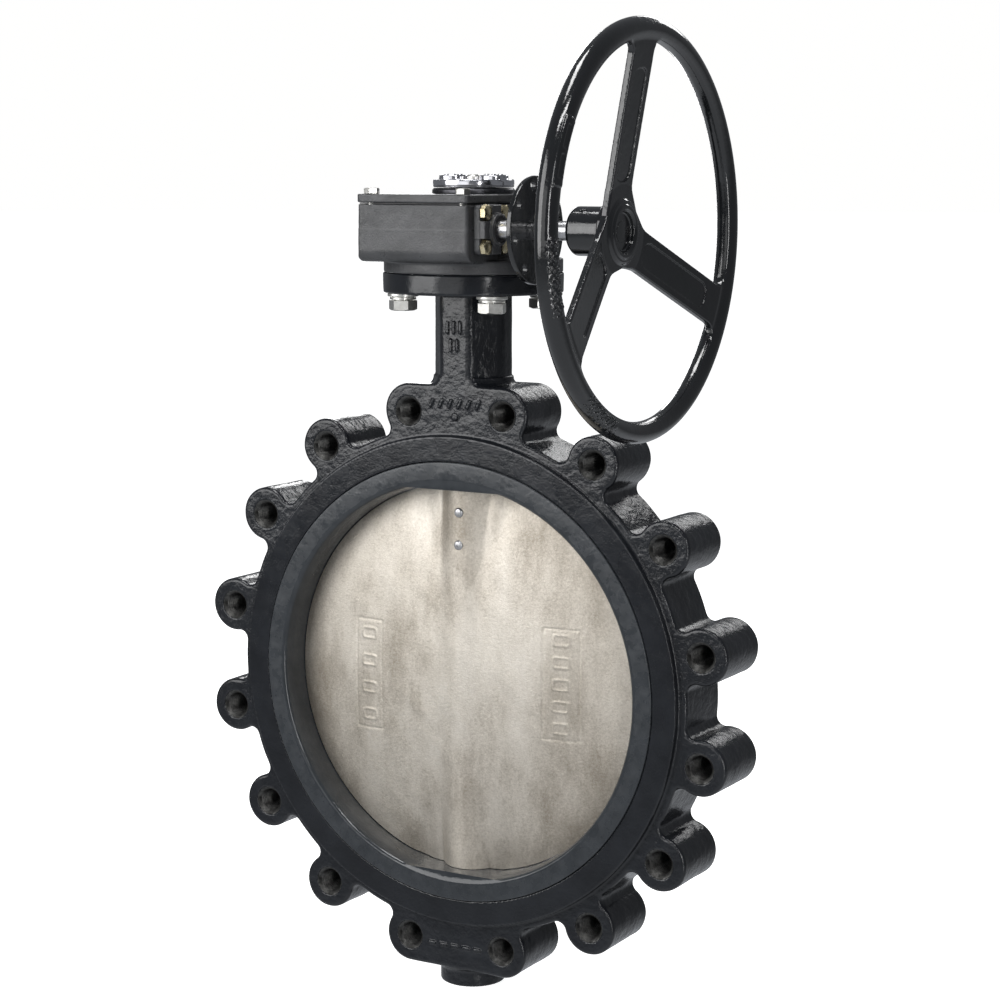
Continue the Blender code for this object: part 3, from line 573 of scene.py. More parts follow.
def handwheel_enamel():
    """High gloss black enamel, slightly wavy where it ran."""
    n = Nodes("handwheel_enamel")
    tone = n.colours(n.noise(60), (0.3, (0.006, 0.007, 0.008)), (0.7, (0.011, 0.012, 0.014)))
    gloss = n.spread(n.noise(18, 3), 0.07, 0.16)
    n.bump((n.noise(11, 3), 0.8, 0.5), (n.noise(3.0, 4), 0.22, 0.5))
    return n.finish(tone, gloss, Coat_Weight=0.5, Coat_Roughness=0.06)


def seat_rubber():
    """Moulded rubber, bluish black, with faint smears."""
    n = Nodes("seat_rubber")
    tone = n.colours(n.noise(22, 5), (0.25, (0.022, 0.026, 0.030)), (0.75, (0.044, 0.049, 0.055)))
    smears = n.spread(n.noise(10, 5), 0.16, 0.42)
    bore = n.spread(n.reach((1.0, 0.0, 1.0)), 0.35, 1.0, SEAT_R[0] * MM, (SEAT_R[0] + 3.0) * MM)
    gloss = n.times(smears, bore)
    n.bump((n.noise(17, 3), 1.0, 0.6), (n.noise(4.5, 4), 0.2, 0.6), (n.noise(0.7, 2), 0.025, 0.5))
    return n.finish(tone, gloss, Sheen_Weight=0.08, Sheen_Roughness=0.4)


def blasted_stainless():
    """Cast stainless steel, bead blasted, with the casting's stains, faint tooling lines and painted shade
    darkening it towards its left and right edges.
    """
    n = Nodes("blasted_stainless")
    stains = n.noise(55, 6, 0.62, stretch=(1.0, 1.0, 0.45))
    grain = n.spread(n.noise(2.4, 4, 0.75), 0.8, 1.2)
    # painted shade: the colour darkens from about 60 mm to 165 mm out, mostly towards the disc's left and
    # right edges
    sides = n.spread(n.reach((1.0, 0.0, 0.35)), 1.04, 0.82, 60 * MM, 165 * MM)
    tone = n.colours(n.times(n.times(stains, grain), sides), (0.3, (0.38, 0.335, 0.275)),
                     (0.5, (0.64, 0.59, 0.515)), (0.7, (0.77, 0.72, 0.643)))
    gloss = n.spread(n.noise(1.8, 4, 0.7), 0.4, 0.64)
    n.bump((n.noise(24, 4), 0.5, 0.35), (n.noise(2.2, 4, 0.75), 0.5, 0.8), (n.noise(0.8, 2), 0.16, 0.8))
    return n.finish(tone, gloss, Metallic=0.9)


def plated(name, dark, light, roughness, grain=0.5):
    """A bright plated or turned metal with fine tooling marks."""
    n = Nodes(name)
    tone = n.colours(n.noise(4, 4), (0.3, dark), (0.7, light))
    gloss = n.spread(n.noise(2.5, 4), roughness[0], roughness[1])
    n.bump((n.noise(1.3, 3), 0.03, grain))
    return n.finish(tone, gloss, Metallic=1.0)


def plain_seal():
    """Black nitrile rubber of the seals and the gasket."""
    n = Nodes("seal_rubber")
    tone = n.colours(n.noise(5), (0.3, (0.012, 0.012, 0.013)), (0.7, (0.022, 0.022, 0.023)))
    n.bump((n.noise(0.8, 3), 0.03, 0.5))
    return n.finish(tone, n.spread(n.noise(3), 0.45, 0.6))


def bare_iron():
    """Unpainted iron, faintly oiled, darker in its pits."""
    n = Nodes("bare_iron")
    tone = n.colours(n.noise(3, 5), (0.3, (0.04, 0.04, 0.039)), (0.7, (0.12, 0.118, 0.113)))
    n.bump((n.noise(1.2, 4), 0.08, 0.5))
    return n.finish(tone, n.spread(n.noise(2), 0.38, 0.52), Metallic=0.85)


FINISH = {
    "body_paint": coated_casting(),
    "gearbox_paint": gearbox_paint(),
    "handwheel_paint": handwheel_enamel(),
    "rubber": seat_rubber(),
    "disc_steel": blasted_stainless(),
    "stem_steel": plated("turned_steel", (0.42, 0.42, 0.43), (0.56, 0.56, 0.57), (0.24, 0.38)),
    "bronze": plated("turned_bronze", (0.42, 0.27, 0.13), (0.6, 0.42, 0.22), (0.3, 0.42)),
    "seal": plain_seal(),
    "bare_iron": bare_iron(),
    "zinc": plated("bright_zinc", (0.70, 0.69, 0.65), (0.85, 0.84, 0.80), (0.28, 0.42), 0.3),
    "gold_zinc": plated("yellow_zinc", (0.66, 0.55, 0.32), (0.83, 0.75, 0.52), (0.2, 0.36)),
    "indicator_base": plated("dark_plating", (0.05, 0.05, 0.055), (0.1, 0.1, 0.11), (0.25, 0.4)),
    "indicator_chrome": plated("chrome", (0.66, 0.66, 0.70), (0.8, 0.8, 0.84), (0.06, 0.16), 0.3),
}


def fit(piece, node, slot):
    """Puts a piece in its CAD node's place, on the same body."""
    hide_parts(node)
    add(piece, frame["nodes"][node]["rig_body"], slot)


def add(piece, body, slot):
    """Gives a piece its finish, and the body that it moves with."""
    piece.data.materials.append(FINISH[slot])
    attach(piece, body)


# ---------------------------------------------------------------- valve body
def folded(u, v, count, start):
    """Coordinates along and across the nearest of count equal directions."""
    step = 2 * math.pi / count
    angle = np.arctan2(v, u) - start
    turn = angle - step * np.round(angle / step)
    reach = np.hypot(u, v)
    return reach * np.cos(turn), reach * np.sin(turn)


def casting_outline(x, z):
    """The flange seen from in front: a disc with 16 lugs and two flat bridges on the stem's line."""
    along, across = folded(x, z, LUG_COUNT, math.pi / LUG_COUNT)
    across = np.abs(across)
    outline = np.minimum(np.hypot(x, z) - BODY_R, circle(along, across, LUG_R, (LUG_CIRCLE_R, 0.0)))
    reach = BODY_R + LUG_FILLET_R
    away = LUG_R + LUG_FILLET_R
    spread = math.acos((LUG_CIRCLE_R ** 2 + reach ** 2 - away ** 2) / (2 * LUG_CIRCLE_R * reach))
    corner = (reach * math.cos(spread), reach * math.sin(spread))
    du, dv = along - corner[0], across - corner[1]
    to_lug = (LUG_CIRCLE_R - corner[0], -corner[1])
    between = (du * to_lug[1] - dv * to_lug[0] > 0) & (du * corner[1] - dv * corner[0] > 0)
    outline = np.where(between, np.minimum(outline, LUG_FILLET_R - np.hypot(du, dv)), outline)
    bridge = rectangle(x, np.abs(z), (-BRIDGE_HALF, 200.0), (BRIDGE_HALF, BRIDGE_TOP))
    return np.minimum(outline, bridge)


NECK_HALF_X = 38.5
NECK_FACET = (0.749, 0.663, 35.47)     # direction and reach of the neck's slanting sides
FOOT_Z = 299.5                         # ledge at the foot of the neck
FOOT_STEP = 2.2


def neck(x, y, z):
    facet = NECK_FACET[0] * np.abs(x) + NECK_FACET[1] * np.abs(y) - NECK_FACET[2]
    column = overlap(facet, np.abs(x) - NECK_HALF_X, 4.0)
    foot = overlap(column - FOOT_STEP, z - FOOT_Z, 0.7)
    return overlap(np.minimum(column, foot), slab(z, 240.0, 385.0))


def raised_marks(x, z):
    """Plain raised strokes where the casting carries its marks."""
    strokes = [((7.0 * i - 0.5, 343.0), (0.0, 9.0)) for i in (-1, 0, 1)]
    strokes += [((7.0 * i - 0.5, 326.0), (0.0, 9.0)) for i in (-0.5, 0.5)]
    strokes += [((10.4 * i - 27.0, 271.0), (3.0, 6.0)) for i in range(6)]
    strokes += [((13.0 * i - 29.0, -268.0), (6.0, 0.0)) for i in range(5)]
    lines = [stroke(x, z, low, (low[0] + run[0], low[1] + run[1]), 1.6) for low, run in strokes]
    return joined(circle(x, z, 3.6, (0.6, 261.3)), *lines)


def valve_body(x, y, z):
    profile = union(casting_outline(x, z), neck(x, y, z), 7.0)
    profile = profile - 0.22 * ripple(x, y, z, 9.0)
    body = overlap(profile, np.abs(y) - BODY_HALF, 3.4)
    marks = overlap(raised_marks(x, z), slab(y, -BODY_HALF - 1.7, -BODY_HALF + 3.0), 0.5)
    body = union(body, marks, 0.6)
    radius = np.hypot(x, z)
    ring = overlap(slab(radius, RING_R[0] - 6.0, RING_R[1]), np.abs(y) - RING_HALF, 0.9)
    body = union(body, ring, 2.4)
    stem_r = np.hypot(x, y)
    flange = overlap(stem_r - TOP_FLANGE_R - 0.2 * ripple(x, y, z, 8.0), slab(z, *TOP_FLANGE_Z), 1.8)
    body = union(body, flange, 4.0)
    boss = overlap(stem_r - BOSS_R, slab(z, BOSS_Z, -LUG_CIRCLE_R), 1.6)
    body = union(body, boss, 5.0)

    along, across = folded(x, z, LUG_COUNT, math.pi / LUG_COUNT)
    body = without(body, circle(along, across, LUG_MOUTH_R, (LUG_CIRCLE_R, 0.0)), 0.8)
    waterway = np.minimum(radius - BODY_BORE_R, overlap(radius - RING_R[0], LIP_FLOOR - np.abs(y)))
    body = without(body, waterway, 0.6)
    along, across = folded(x, y, 4, math.pi / 4)
    bores = joined(overlap(stem_r - STEM_BORE_R, 150.0 - np.abs(z)),
                   overlap(stem_r - COUNTERBORE_R, 388.0 - z),
                   overlap(stem_r - COUNTERBORE_R, 292.0 + z),
                   overlap(circle(along, across, 9.0, (MOUNT_BOLT_CIRCLE_R, 0.0)), 370.0 - z))
    return without(body, bores, 0.5)


def lug_threads():
    """The tapped threads of all 16 lugs: a sleeve in each hole, chamfered at both ends."""
    segments = 36
    shares = np.arange(segments) / segments
    end = BODY_HALF - 0.9
    inner_end = end - 3.0
    step = THREAD_PITCH / 5
    places = [-end] + [step * i - inner_end for i in range(int(2 * inner_end / step) + 1)] + [end]
    rings = []
    for place in places:
        phase = (place / THREAD_PITCH + shares) % 1.0
        tooth = np.clip(1.25 * (1 - np.abs(2 * phase - 1)) - 0.1, 0, 1)
        radius = THREAD_R[0] + (THREAD_R[1] - THREAD_R[0]) * tooth
        rings.append((np.maximum(radius, LUG_MOUTH_R + 0.15 - (end - abs(place))), place))
    rings += [(LUG_MOUTH_R + 1.0, end), (LUG_MOUTH_R + 1.0, -end)]
    points, faces = [], []
    for lug in range(LUG_COUNT):
        angle = 2 * math.pi * (lug + 0.5) / LUG_COUNT
        base = len(points)
        for radius, place in rings:
            x = LUG_CIRCLE_R * math.cos(angle) + radius * np.cos(2 * math.pi * shares)
            z = LUG_CIRCLE_R * math.sin(angle) + radius * np.sin(2 * math.pi * shares)
            points += [(a, place, b) for a, b in zip(x.tolist(), z.tolist())]
        for r in range(len(rings)):
            here, there = base + r * segments, base + (r + 1) % len(rings) * segments
            for i in range(segments):
                j = (i + 1) % segments
                faces.append([here + i, there + i, there + j, here + j])
    return from_faces("lug_threads", points, faces, 50.0)


def make_body():
    low = (span("valve_body", "X")[0], -TOP_FLANGE_R, BOSS_Z)
    high = (span("valve_body", "X")[1], TOP_FLANGE_R, TOP_FLANGE_Z[1])
    fit(skin("body_casting", valve_body, low, high, 1.6), "valve_body", "body_paint")
    add(lug_threads(), "valve", "bare_iron")


# ---------------------------------------------------------------- seat, disc and pins
def make_seat():
    face, lip, outer = SEAT_HALF, LIP_FLOOR + 0.3, BODY_BORE_R - 0.3
    half = [(outer, lip, 0.5), (SEAT_R[1], lip, 0.5), (SEAT_R[1], face, 1.6), (SEAT_R[0], face, 1.6),
            (SEAT_R[0] - 2.2, face - 2.4, 1.2), (SEAT_BORE_R, face - 10.0, 5.0)]
    corners = half + [(r, -y, ease) for r, y, ease in reversed(half)]

    def flat_by_the_stem(x, y, z):
        if math.hypot(x, z) < SEAT_R[0] - 1.0 and abs(x) < 60.0:
            return x, y, math.copysign(min(abs(z), SEAT_FLAT_Z), z)
        return x, y, z

    seat = lathe("seat", corners, "Y", segments=288, shape=flat_by_the_stem)
    for side in (-1, 1):
        cut_by(seat, lathe("hole", rod(STEM_HOLE_R, side * 180.0, side * 212.0)))
    fit(seat, "seat_liner", "rubber")


PANELS = (((-122.0, -60.0), (-90.5, 51.0), 4), ((93.0, -47.0), (131.0, 61.5), 5))   # corners, marks


def disc_half(x, z):
    """Half the disc's thickness: a dome, the ridge over the stem and the flutes beside it."""
    radius = np.hypot(x, z)
    dome = DISC_RIM_HALF + (DISC_DOME_HALF - DISC_RIM_HALF) * (1 - (radius / DISC_R) ** 2)
    ridge = np.sqrt(np.maximum(0.0, DISC_HUB_R ** 2 - x ** 2))
    height = (dome ** 6 + ridge ** 6) ** (1 / 6)
    near_end = ramp(np.abs(z), 105.0, 186.0)
    wide = 34.0 + 14.0 * near_end
    flute = np.exp(-((np.abs(x) - wide) / 12.0) ** 2)
    return height - 3.2 * near_end * flute + 0.16 * ripple(x, z, x + z, 13.0)


def disc_marks(x, z):
    """Stamped panels on the front face: a fine sunk border and plain raised ovals inside."""
    height = 0.0
    for (left, low), (right, high), count in PANELS:
        border = np.abs(rectangle(x, z, (left, low), (right, high)))
        height = height - 0.55 * (1 - ramp(border, 0.2, 1.2))
        centre = (left + right) / 2
        gap = (high - low) / count
        for i in range(count):
            place = low + gap * (i + 0.5)
            oval = np.abs(rectangle(x, z, (centre - 6.0, place - 3.0), (centre + 6.0, place + 3.0)) - 2.0)
            height = height + 0.6 * (1 - ramp(oval, 0.4, 1.5))
    return height


def make_disc():
    """Two faces on a polar grid, joined by the spherical edge."""
    segments, rings, edge_rows = 640, 150, 8
    angles = 2 * math.pi * np.arange(segments) / segments
    sine, cosine = np.sin(angles), np.cos(angles)
    edge_half = disc_half(sine * DISC_R, cosine * DISC_R)
    edge = np.sqrt(DISC_R ** 2 - edge_half ** 2)

    def face(side):
        rows = [np.array([[0.0, side * disc_half(0.0, 0.0), 0.0]])]
        for ring in range(1, rings + 1):
            reach = edge * (ring / rings) ** 0.9
            x, z = reach * sine, reach * cosine
            relief = disc_marks(x, z) if side == FRONT else 0.0
            rows.append(np.stack([x, side * disc_half(x, z) - relief, z], 1))
        return rows

    band = []
    for row in range(1, edge_rows):
        y = edge_half * (2 * row / edge_rows - 1)
        reach = np.sqrt(DISC_R ** 2 - y ** 2)
        band.append(np.stack([reach * sine, y, reach * cosine], 1))
    rows = face(FRONT) + band + face(BACK)[::-1]
    for row in rows:
        row[:, 2] = np.clip(row[:, 2], -DISC_FLAT_Z, DISC_FLAT_Z)
    disc = from_rows("disc_casting", [row.tolist() for row in rows], False, sharp=40.0)
    cut_by(disc, lathe("bore", rod(STEM_HOLE_R, -200, 200)))
    fit(disc, "disc", "disc_steel")
    for label in ("upper", "lower"):
        node = f"disc_taper_pin_{label}"
        reach = span(node, "Y")[1]
        radius = radius_of(node, "X")
        corners = [(0, -reach - 0.9, 0), (radius * 0.72, -reach - 0.6, 0.8), (radius, -reach + 0.9, 0.6),
                   (radius - 0.25, reach - 0.8, 0.6), (radius * 0.7, reach + 0.4, 0.8), (0, reach + 0.6, 0)]
        place = (middle(node, "X"), middle(node, "Z"))
        fit(lathe(f"taper_pin_{label}", corners, "Y", place, 48), node, "stem_steel")


# ---------------------------------------------------------------- gearbox
def gearbox_plan(x, y, grow=0.0):
    """The gearbox seen from above: a box, the round part about the stem and two bolt ears."""
    box = rectangle(x, y, (BOX_X[0] + 4.0, BOX_FRONT + 4.0), (BOX_X[1] - 4.0, 0.0)) - 4.0
    plan = np.minimum(box, np.hypot(x, y) - HOUSING_R)
    return union(plan, circle(np.abs(x), y, REAR_EAR[2], REAR_EAR[:2]), 4.0) - grow


def cavity_plan(x, y):
    box = rectangle(x, y, (CAVITY_X[0], -88.0), (CAVITY_X[1], 0.0))
    return np.minimum(box, np.hypot(x, y) - 59.0)


def bolt_places():
    return [(middle(f"cover_bolt_{i}", "X"), middle(f"cover_bolt_{i}", "Y")) for i in range(1, 5)]


def cap_bolt_holes(u, v):
    """The holes for the bearing cap's four bolts, about the worm shaft."""
    return circle(np.abs(u), np.abs(v), SMALL_BOLT_HOLE_R, (CAP_BOLT_PLACE, CAP_BOLT_PLACE))


def gearbox_housing(x, y, z):
    low, high = HOUSING_Z
    sink = 0.35 * ramp(z, WORM_Z - 0.7, WORM_Z + 0.7)           # the two mould halves don't quite match
    plan = gearbox_plan(x, y) + sink - 0.12 * ripple(x, y, z, 5.0)
    housing = overlap(plan, slab(z, low, high), 1.1)
    nose = overlap(BOX_FRONT - y, low - z, 12.0)
    housing = np.maximum(housing, nose)
    for centre in STOP_X.values():
        boss = overlap(circle(x, z, 10.0, (centre, WORM_Z)), slab(y, 20.0, 60.0), 1.2)
        housing = union(housing, boss, 4.0)
    stem_r = np.hypot(x, y)
    base = overlap(stem_r - TOP_FLANGE_R + 0.6, slab(z, *BASE_Z), 1.4)
    housing = union(housing, base, 2.6)
    worm_r = np.hypot(y - WORM_Y, z - WORM_Z)
    along, across = folded(x, y, 4, math.pi / 4)
    mount = circle(along, across, 8.3, (MOUNT_BOLT_CIRCLE_R, 0.0))
    stops = [circle(x, z, STOP_HOLE_R, (centre, WORM_Z)) for centre in STOP_X.values()]
    lid_bolts = [circle(x, y, SMALL_BOLT_HOLE_R, place) for place in bolt_places()]
    space = joined(overlap(cavity_plan(x, y), 420.0 - z), stem_r - STEM_BORE_R,
                   overlap(worm_r - 16.3, slab(x, -60.0, 60.0)),
                   overlap(joined(*stops), 20.0 - y),
                   overlap(joined(*lid_bolts), high - 14.0 - z),
                   overlap(cap_bolt_holes(y - WORM_Y, z - WORM_Z), 43.0 - x),
                   overlap(mount, z - BASE_Z[0] - 11.0))
    return without(housing, space, 0.4)


def gearbox_cover(x, y, z):
    plan = gearbox_plan(x, y, 0.5)
    cover = overlap(plan - 0.1 * ripple(x, y, z, 5.0), slab(z, *COVER_Z), 1.3)
    holes = np.hypot(x, y) - 20.0
    for place in bolt_places():
        holes = np.minimum(holes, circle(x, y, SMALL_BOLT_HOLE_R, place))
        boss = np.maximum(circle(x, y, 8.5, place), plan + 0.6)
        cover = union(cover, overlap(boss, slab(z, COVER_Z[0] + 2, COVER_Z[1] + 0.2), 0.2))
    return without(cover, holes, 0.5)


def bearing_cap(x, y, z):
    """A square plate with a cross-shaped boss, pockets for four bolts and a hub."""
    u, v = y - WORM_Y, z - WORM_Z
    inner = CAP_HALF - 5.0
    plate = rectangle(u, v, (-inner, -inner), (inner, inner)) - 5.0
    plate = overlap(plate, slab(x, CAP_X[0], CAP_X[1]), 0.8)
    bars = np.minimum(rectangle(u, v, (-CAP_HALF, -8.0), (CAP_HALF, 8.0)),
                      rectangle(u, v, (-8.0, -CAP_HALF), (8.0, CAP_HALF)))
    cross = overlap(bars, slab(x, CAP_X[0] + 1.0, CAP_X[2]), 1.2)
    radius = np.hypot(u, v)
    hub_end = span("input_bearing_cap", "X")[1]
    hub = overlap(radius - 15.0, slab(x, CAP_X[0] + 1.0, hub_end), 1.2)
    cap = union(union(plate, cross, 1.6), hub, 1.6)
    cap = without(cap, np.minimum(radius - SHAFT_HOLE_R, overlap(radius - 12.3, CAP_X[1] + 2.0 - x)), 0.5)
    return without(cap, cap_bolt_holes(u, v), 0.4)


def lock_plate(x, y, z):
    u, v = y - WORM_Y, z - WORM_Z
    radius = np.hypot(u, v)
    plate = overlap(radius - LOCK_PLATE_R, slab(x, *LOCK_PLATE_X), 0.8)
    hub = overlap(radius - 15.0, slab(x, span("lock_plate", "X")[0], LOCK_PLATE_X[1] - 1.0), 1.0)
    plate = union(plate, hub, 2.0)
    along, across = folded(u, v, 8, math.radians(11.0))
    plate = without(plate, circle(along, across, 4.5, (42.0, 0.0)), 0.5)
    return without(plate, radius - SHAFT_HOLE_R, 0.4)


def make_gearbox():
    satin, gloss = "gearbox_paint", "handwheel_paint"
    pieces = (("gearbox_shell", gearbox_housing, "gearbox_housing", 1.2, satin),
              ("gearbox_lid", gearbox_cover, "gearbox_cover", 0.9, satin),
              ("bearing_cap", bearing_cap, "input_bearing_cap", 0.7, satin),
              ("drilled_lock_plate", lock_plate, "lock_plate", 0.8, gloss))
    for name, field, node, cell, slot in pieces:
        fit(skin(name, field, *box_of(node, 1.0), cell), node, slot)


# ---------------------------------------------------------------- worm shaft and handwheel
def make_shaft():
    """The worm shaft with its left-hand thread; its plain end carries the handwheel."""
    ends = span("worm_shaft", "X")
    face = 194.4                    # just under the hub's recess; paint covers the end
    pitch_r, core_r, half, module = 14.0, 10.4, 30.0, 3.0
    corners = [(0, ends[0], 0), (10.0, ends[0], 0.8), (10.0, -half, 0), (core_r, -half, 0),
               (core_r, half, 0), (10.0, half, 0), (10.0, BOX_X[1], 0.4), (SHAFT_R, BOX_X[1], 0),
               (SHAFT_R, 113.0, 0), (SHAFT_R - 0.7, 113.5, 0), (SHAFT_R - 0.7, 115.5, 0),
               (SHAFT_R, 116.0, 0), (SHAFT_R, face, 0), (0, face, 0)]
    shaft = lathe("turned_worm_shaft", corners, "X", (WORM_Y, WORM_Z), 64)
    fit(shaft, "worm_shaft", "stem_steel")
    cap_r = SHAFT_R + 0.6
    corners = [(0, face - 1.0, 0), (cap_r, face - 1.0, 0), (cap_r, face + 0.9, 0.3), (0, face + 0.9, 0)]
    end = lathe("painted_shaft_end", corners, "X", (WORM_Y, WORM_Z), 64)
    add(end, "input_assembly", "handwheel_paint")

    pitch = math.pi * module
    per_turn, turns = 40, 5
    crest, root = pitch_r + module, core_r - 0.6
    rows = []
    for i in range(per_turn * turns + 1):
        angle = 2 * math.pi * (i / per_turn - turns / 2)
        centre = -pitch * angle / (2 * math.pi)
        row = []
        for radius, side in ((root, -1), (crest, -1), (crest, 1), (root, 1)):
            half_width = pitch / 4 - 0.18 - (radius - pitch_r) * math.tan(math.radians(20))
            y = WORM_Y + radius * math.cos(angle + math.pi)
            z = WORM_Z + radius * math.sin(angle + math.pi)
            row.append((centre + side * half_width, y, z))
        rows.append(row)
    add(capped("worm_thread", rows), "input_assembly", "stem_steel")


HUB_R = 29.0
SPOKE_HALF = 20.0
SPOKE_THICK = 7.6
SPOKE_RUN = (42.0, 165.0)                           # where a spoke slants outwards, in radius
SPOKE_X = 192.7                                     # the spokes' middle plane at the hub
SPOKE_SLOPE = 0.212
RIM_PATCHES = ((179.0, 201.5), (229.0, 249.0))      # rough cast patches along the rim, in degrees
RIM_PLATE = 157.0                                   # middle of the raised plate on the rim
PANEL_REACH = (45.0, 145.0)                         # sunk panels in the spokes
PIN_X = 163.0
PIN_ANGLE = math.radians(123.0)


def rim_relief(u, v, x, radius):
    """Height added to the rim's tube: a raised plate with two slots, and two rough patches."""
    angle = np.degrees(np.arctan2(v, u)) % 360.0
    along = np.radians(angle - RIM_PLATE) * RIM_R
    around = RIM_TUBE_R * (np.arctan2(RIM_R - radius, x - RIM_X) - math.radians(-15))
    plate = rectangle(along, around, (-29.0, -4.0), (29.0, 4.0)) - 2.0
    slots = np.minimum(rectangle(along, around, (-23.0, -1.2), (-3.0, 1.2)),
                       rectangle(along, around, (4.0, -1.2), (23.0, 1.2))) - 0.8
    height = 1.3 * (1 - ramp(plate, -1.0, 0.6)) - 0.9 * (1 - ramp(slots, -0.8, 0.8))
    pips = np.sin(along / 0.95) * np.sin(around / 0.8 + np.sin(along / 2.3)) + 0.4 * np.sin(along / 1.7)
    for start, end in RIM_PATCHES:
        middle_angle, half = (start + end) / 2, (end - start) / 2
        inside = 1 - ramp(np.abs(angle - middle_angle), half - 1.5, half)
        inside = inside * (1 - ramp(np.abs(around), 6.5, 9.0))
        height = height + 1.1 * inside * ramp(pips, 0.0, 0.7)
    return height


def handwheel(x, y, z):
    u, v = y - WORM_Y, z - WORM_Z
    radius = np.hypot(u, v)
    along, across = folded(u, v, 3, SPOKE_START)
    across = np.abs(across)
    lean = SPOKE_X + SPOKE_SLOPE * (np.clip(radius, *SPOKE_RUN) - SPOKE_RUN[0])
    bar = overlap(across - SPOKE_HALF, -along)
    plan = union(union(bar, radius - HUB_R, 20.0), RIM_R - 8.0 - radius, 14.0)
    plan = overlap(plan, radius - RIM_R)
    web = overlap(plan, np.abs(x - lean) - SPOKE_THICK / 2, 1.8)

    inner, outer = PANEL_REACH
    panel = overlap(across - SPOKE_HALF + 7.5, slab(along, inner, outer), 9.0)
    web = without(web, overlap(panel, SPOKE_THICK / 2 - 1.6 - (x - lean), 0.6), 0.7)

    collar = overlap(radius - 22.5, slab(x, 147.0, 186.0), 1.2)
    collar = overlap(collar, (radius - 18.5 + (147.0 - x)) * math.sqrt(0.5), 1.0)
    hub = overlap(radius - HUB_R, slab(x, 183.0, 199.0), 2.4)
    wheel = union(union(web, hub, 2.5), collar, 3.0)
    rim = np.hypot(radius - RIM_R, x - RIM_X) - RIM_TUBE_R
    near_rim = np.abs(rim) < 6.0
    relief = np.where(near_rim, rim_relief(u, v, x, radius), 0.0)
    wheel = union(wheel, rim - relief, 4.0)
    wheel = union(wheel, overlap(slab(radius, 19.5, 24.5), slab(x, 195.0, 200.6), 1.4), 1.2)
    recess = overlap(radius - 18.0, 195.0 - x, 1.5)
    wheel = without(wheel, np.minimum(recess, radius - SHAFT_HOLE_R), 0.8)
    pin = np.hypot(x - PIN_X, -u * math.sin(PIN_ANGLE) + v * math.cos(PIN_ANGLE)) - 2.5
    pin = np.maximum(pin, radius - 40.0)
    return without(wheel, pin, 0.4)


def make_handwheel():
    wheel = skin("cast_handwheel", handwheel, *box_of("handwheel", 2.0), 1.25)
    fit(wheel, "handwheel", "handwheel_paint")

    reach = 21.0
    pin = lathe("roll_pin", rod(2.2, -reach, reach, 0.6), segments=32)
    turn = Matrix.Rotation(PIN_ANGLE - math.pi / 2, 4, "X")
    pin.data.transform(Matrix.Translation(Vector((PIN_X, WORM_Y, WORM_Z)) * MM) @ turn)
    fit(pin, "handwheel_pin", "stem_steel")


# ---------------------------------------------------------------- fasteners
def spring_washer(name, inner, outer, low, high, centre):
    """A split spring washer: one turn of square bar with its ends a little apart."""
    steps, opening = 64, math.radians(9)
    rows = []
    for i in range(steps + 1):
        share = i / steps
        angle = opening + (2 * math.pi - opening) * share
        lift = 0.5 * (share - 0.5)
        row = []
        for radius, along in ((inner, low + 0.3), (outer - 0.3, low + 0.3), (outer, low + 0.6),
                              (outer, high - 0.6), (outer - 0.3, high - 0.3), (inner, high - 0.3)):
            x, y = centre[0] + radius * math.cos(angle), centre[1] + radius * math.sin(angle)
            row.append((x, y, along + lift))
        rows.append(row)
    return capped(name, rows)


def make_fasteners():
    small_bolts = (("cover_bolt", "lid_bolt", "Z", "XY", "zinc", (12.0, 40.0, 23.0, 3.0)),
                   ("cap_bolt", "bearing_cap_bolt", "X", "YZ", "gold_zinc", (20.0, 5.0, 44.0, 31.0)))
    for i in range(1, 5):
        washer, lock, bolt = f"mounting_washer_{i}", f"mounting_lock_washer_{i}", f"mounting_bolt_{i}"
        centre = (middle(washer, "X"), middle(washer, "Y"))
        low, high = span(washer, "Z")
        inner, outer = 8.6, radius_of(washer, "X")
        ring = [(inner, low, 0.3), (outer, low, 0.7), (outer, high, 0.5), (inner, high, 0.3)]
        fit(lathe(f"plain_washer_{i}", ring, centre=centre, segments=72), washer, "zinc")
        low, high = span(lock, "Z")
        piece = spring_washer(f"spring_washer_{i}", 8.5, radius_of(lock, "X"), low, high, centre)
        fit(piece, lock, "zinc")
        head_low, tip = span(bolt, "Z")
        turn = math.radians((8.0, 31.0, 52.0, 17.0)[i - 1])
        piece = hex_head(f"flange_bolt_{i}", 24.0, head_low + 10.0, head_low, "Z", centre, (8.0, tip), turn)
        fit(piece, bolt, "zinc")

        for kind, label, axis, across, slot, turns in small_bolts:
            node = f"{kind}_{i}"
            centre = [middle(node, other) for other in across]
            tip, top = span(node, axis)
            turn = math.radians(turns[i - 1])
            piece = hex_head(f"{label}_{i}", 13.0, top - 5.5, top, axis, centre, (3.8, tip), turn)
            fit(piece, node, slot)

    for label, x in STOP_X.items():
        node = f"stop_screw_{label}"
        start, end = span(node, "Y")
        corners = [(0, start, 0), (4.2, start, 0.6), (5.0, start + 1.2, 0.4), (5.0, end, 0.7),
                   (2.9, end, 0.2), (2.5, end - 5.0, 0), (0, end - 5.6, 0)]
        fit(lathe(f"adjusting_{node}", corners, "Y", (x, WORM_Z), 48), node, "zinc")
        node = f"stop_nut_{label}"
        start, end = span(node, "Y")
        nut = hex_head(f"lock_nut_{label}", 17.0, start, end, "Y", (x, WORM_Z))
        cut_by(nut, lathe("hole", rod(STOP_HOLE_R, start - 5, end + 5), "Y", (x, WORM_Z), 48))
        fit(nut, node, "zinc")


# ---------------------------------------------------------------- position indicator
DISH_TOP = 488.3                 # the indicator's rim, and the seat of its screw


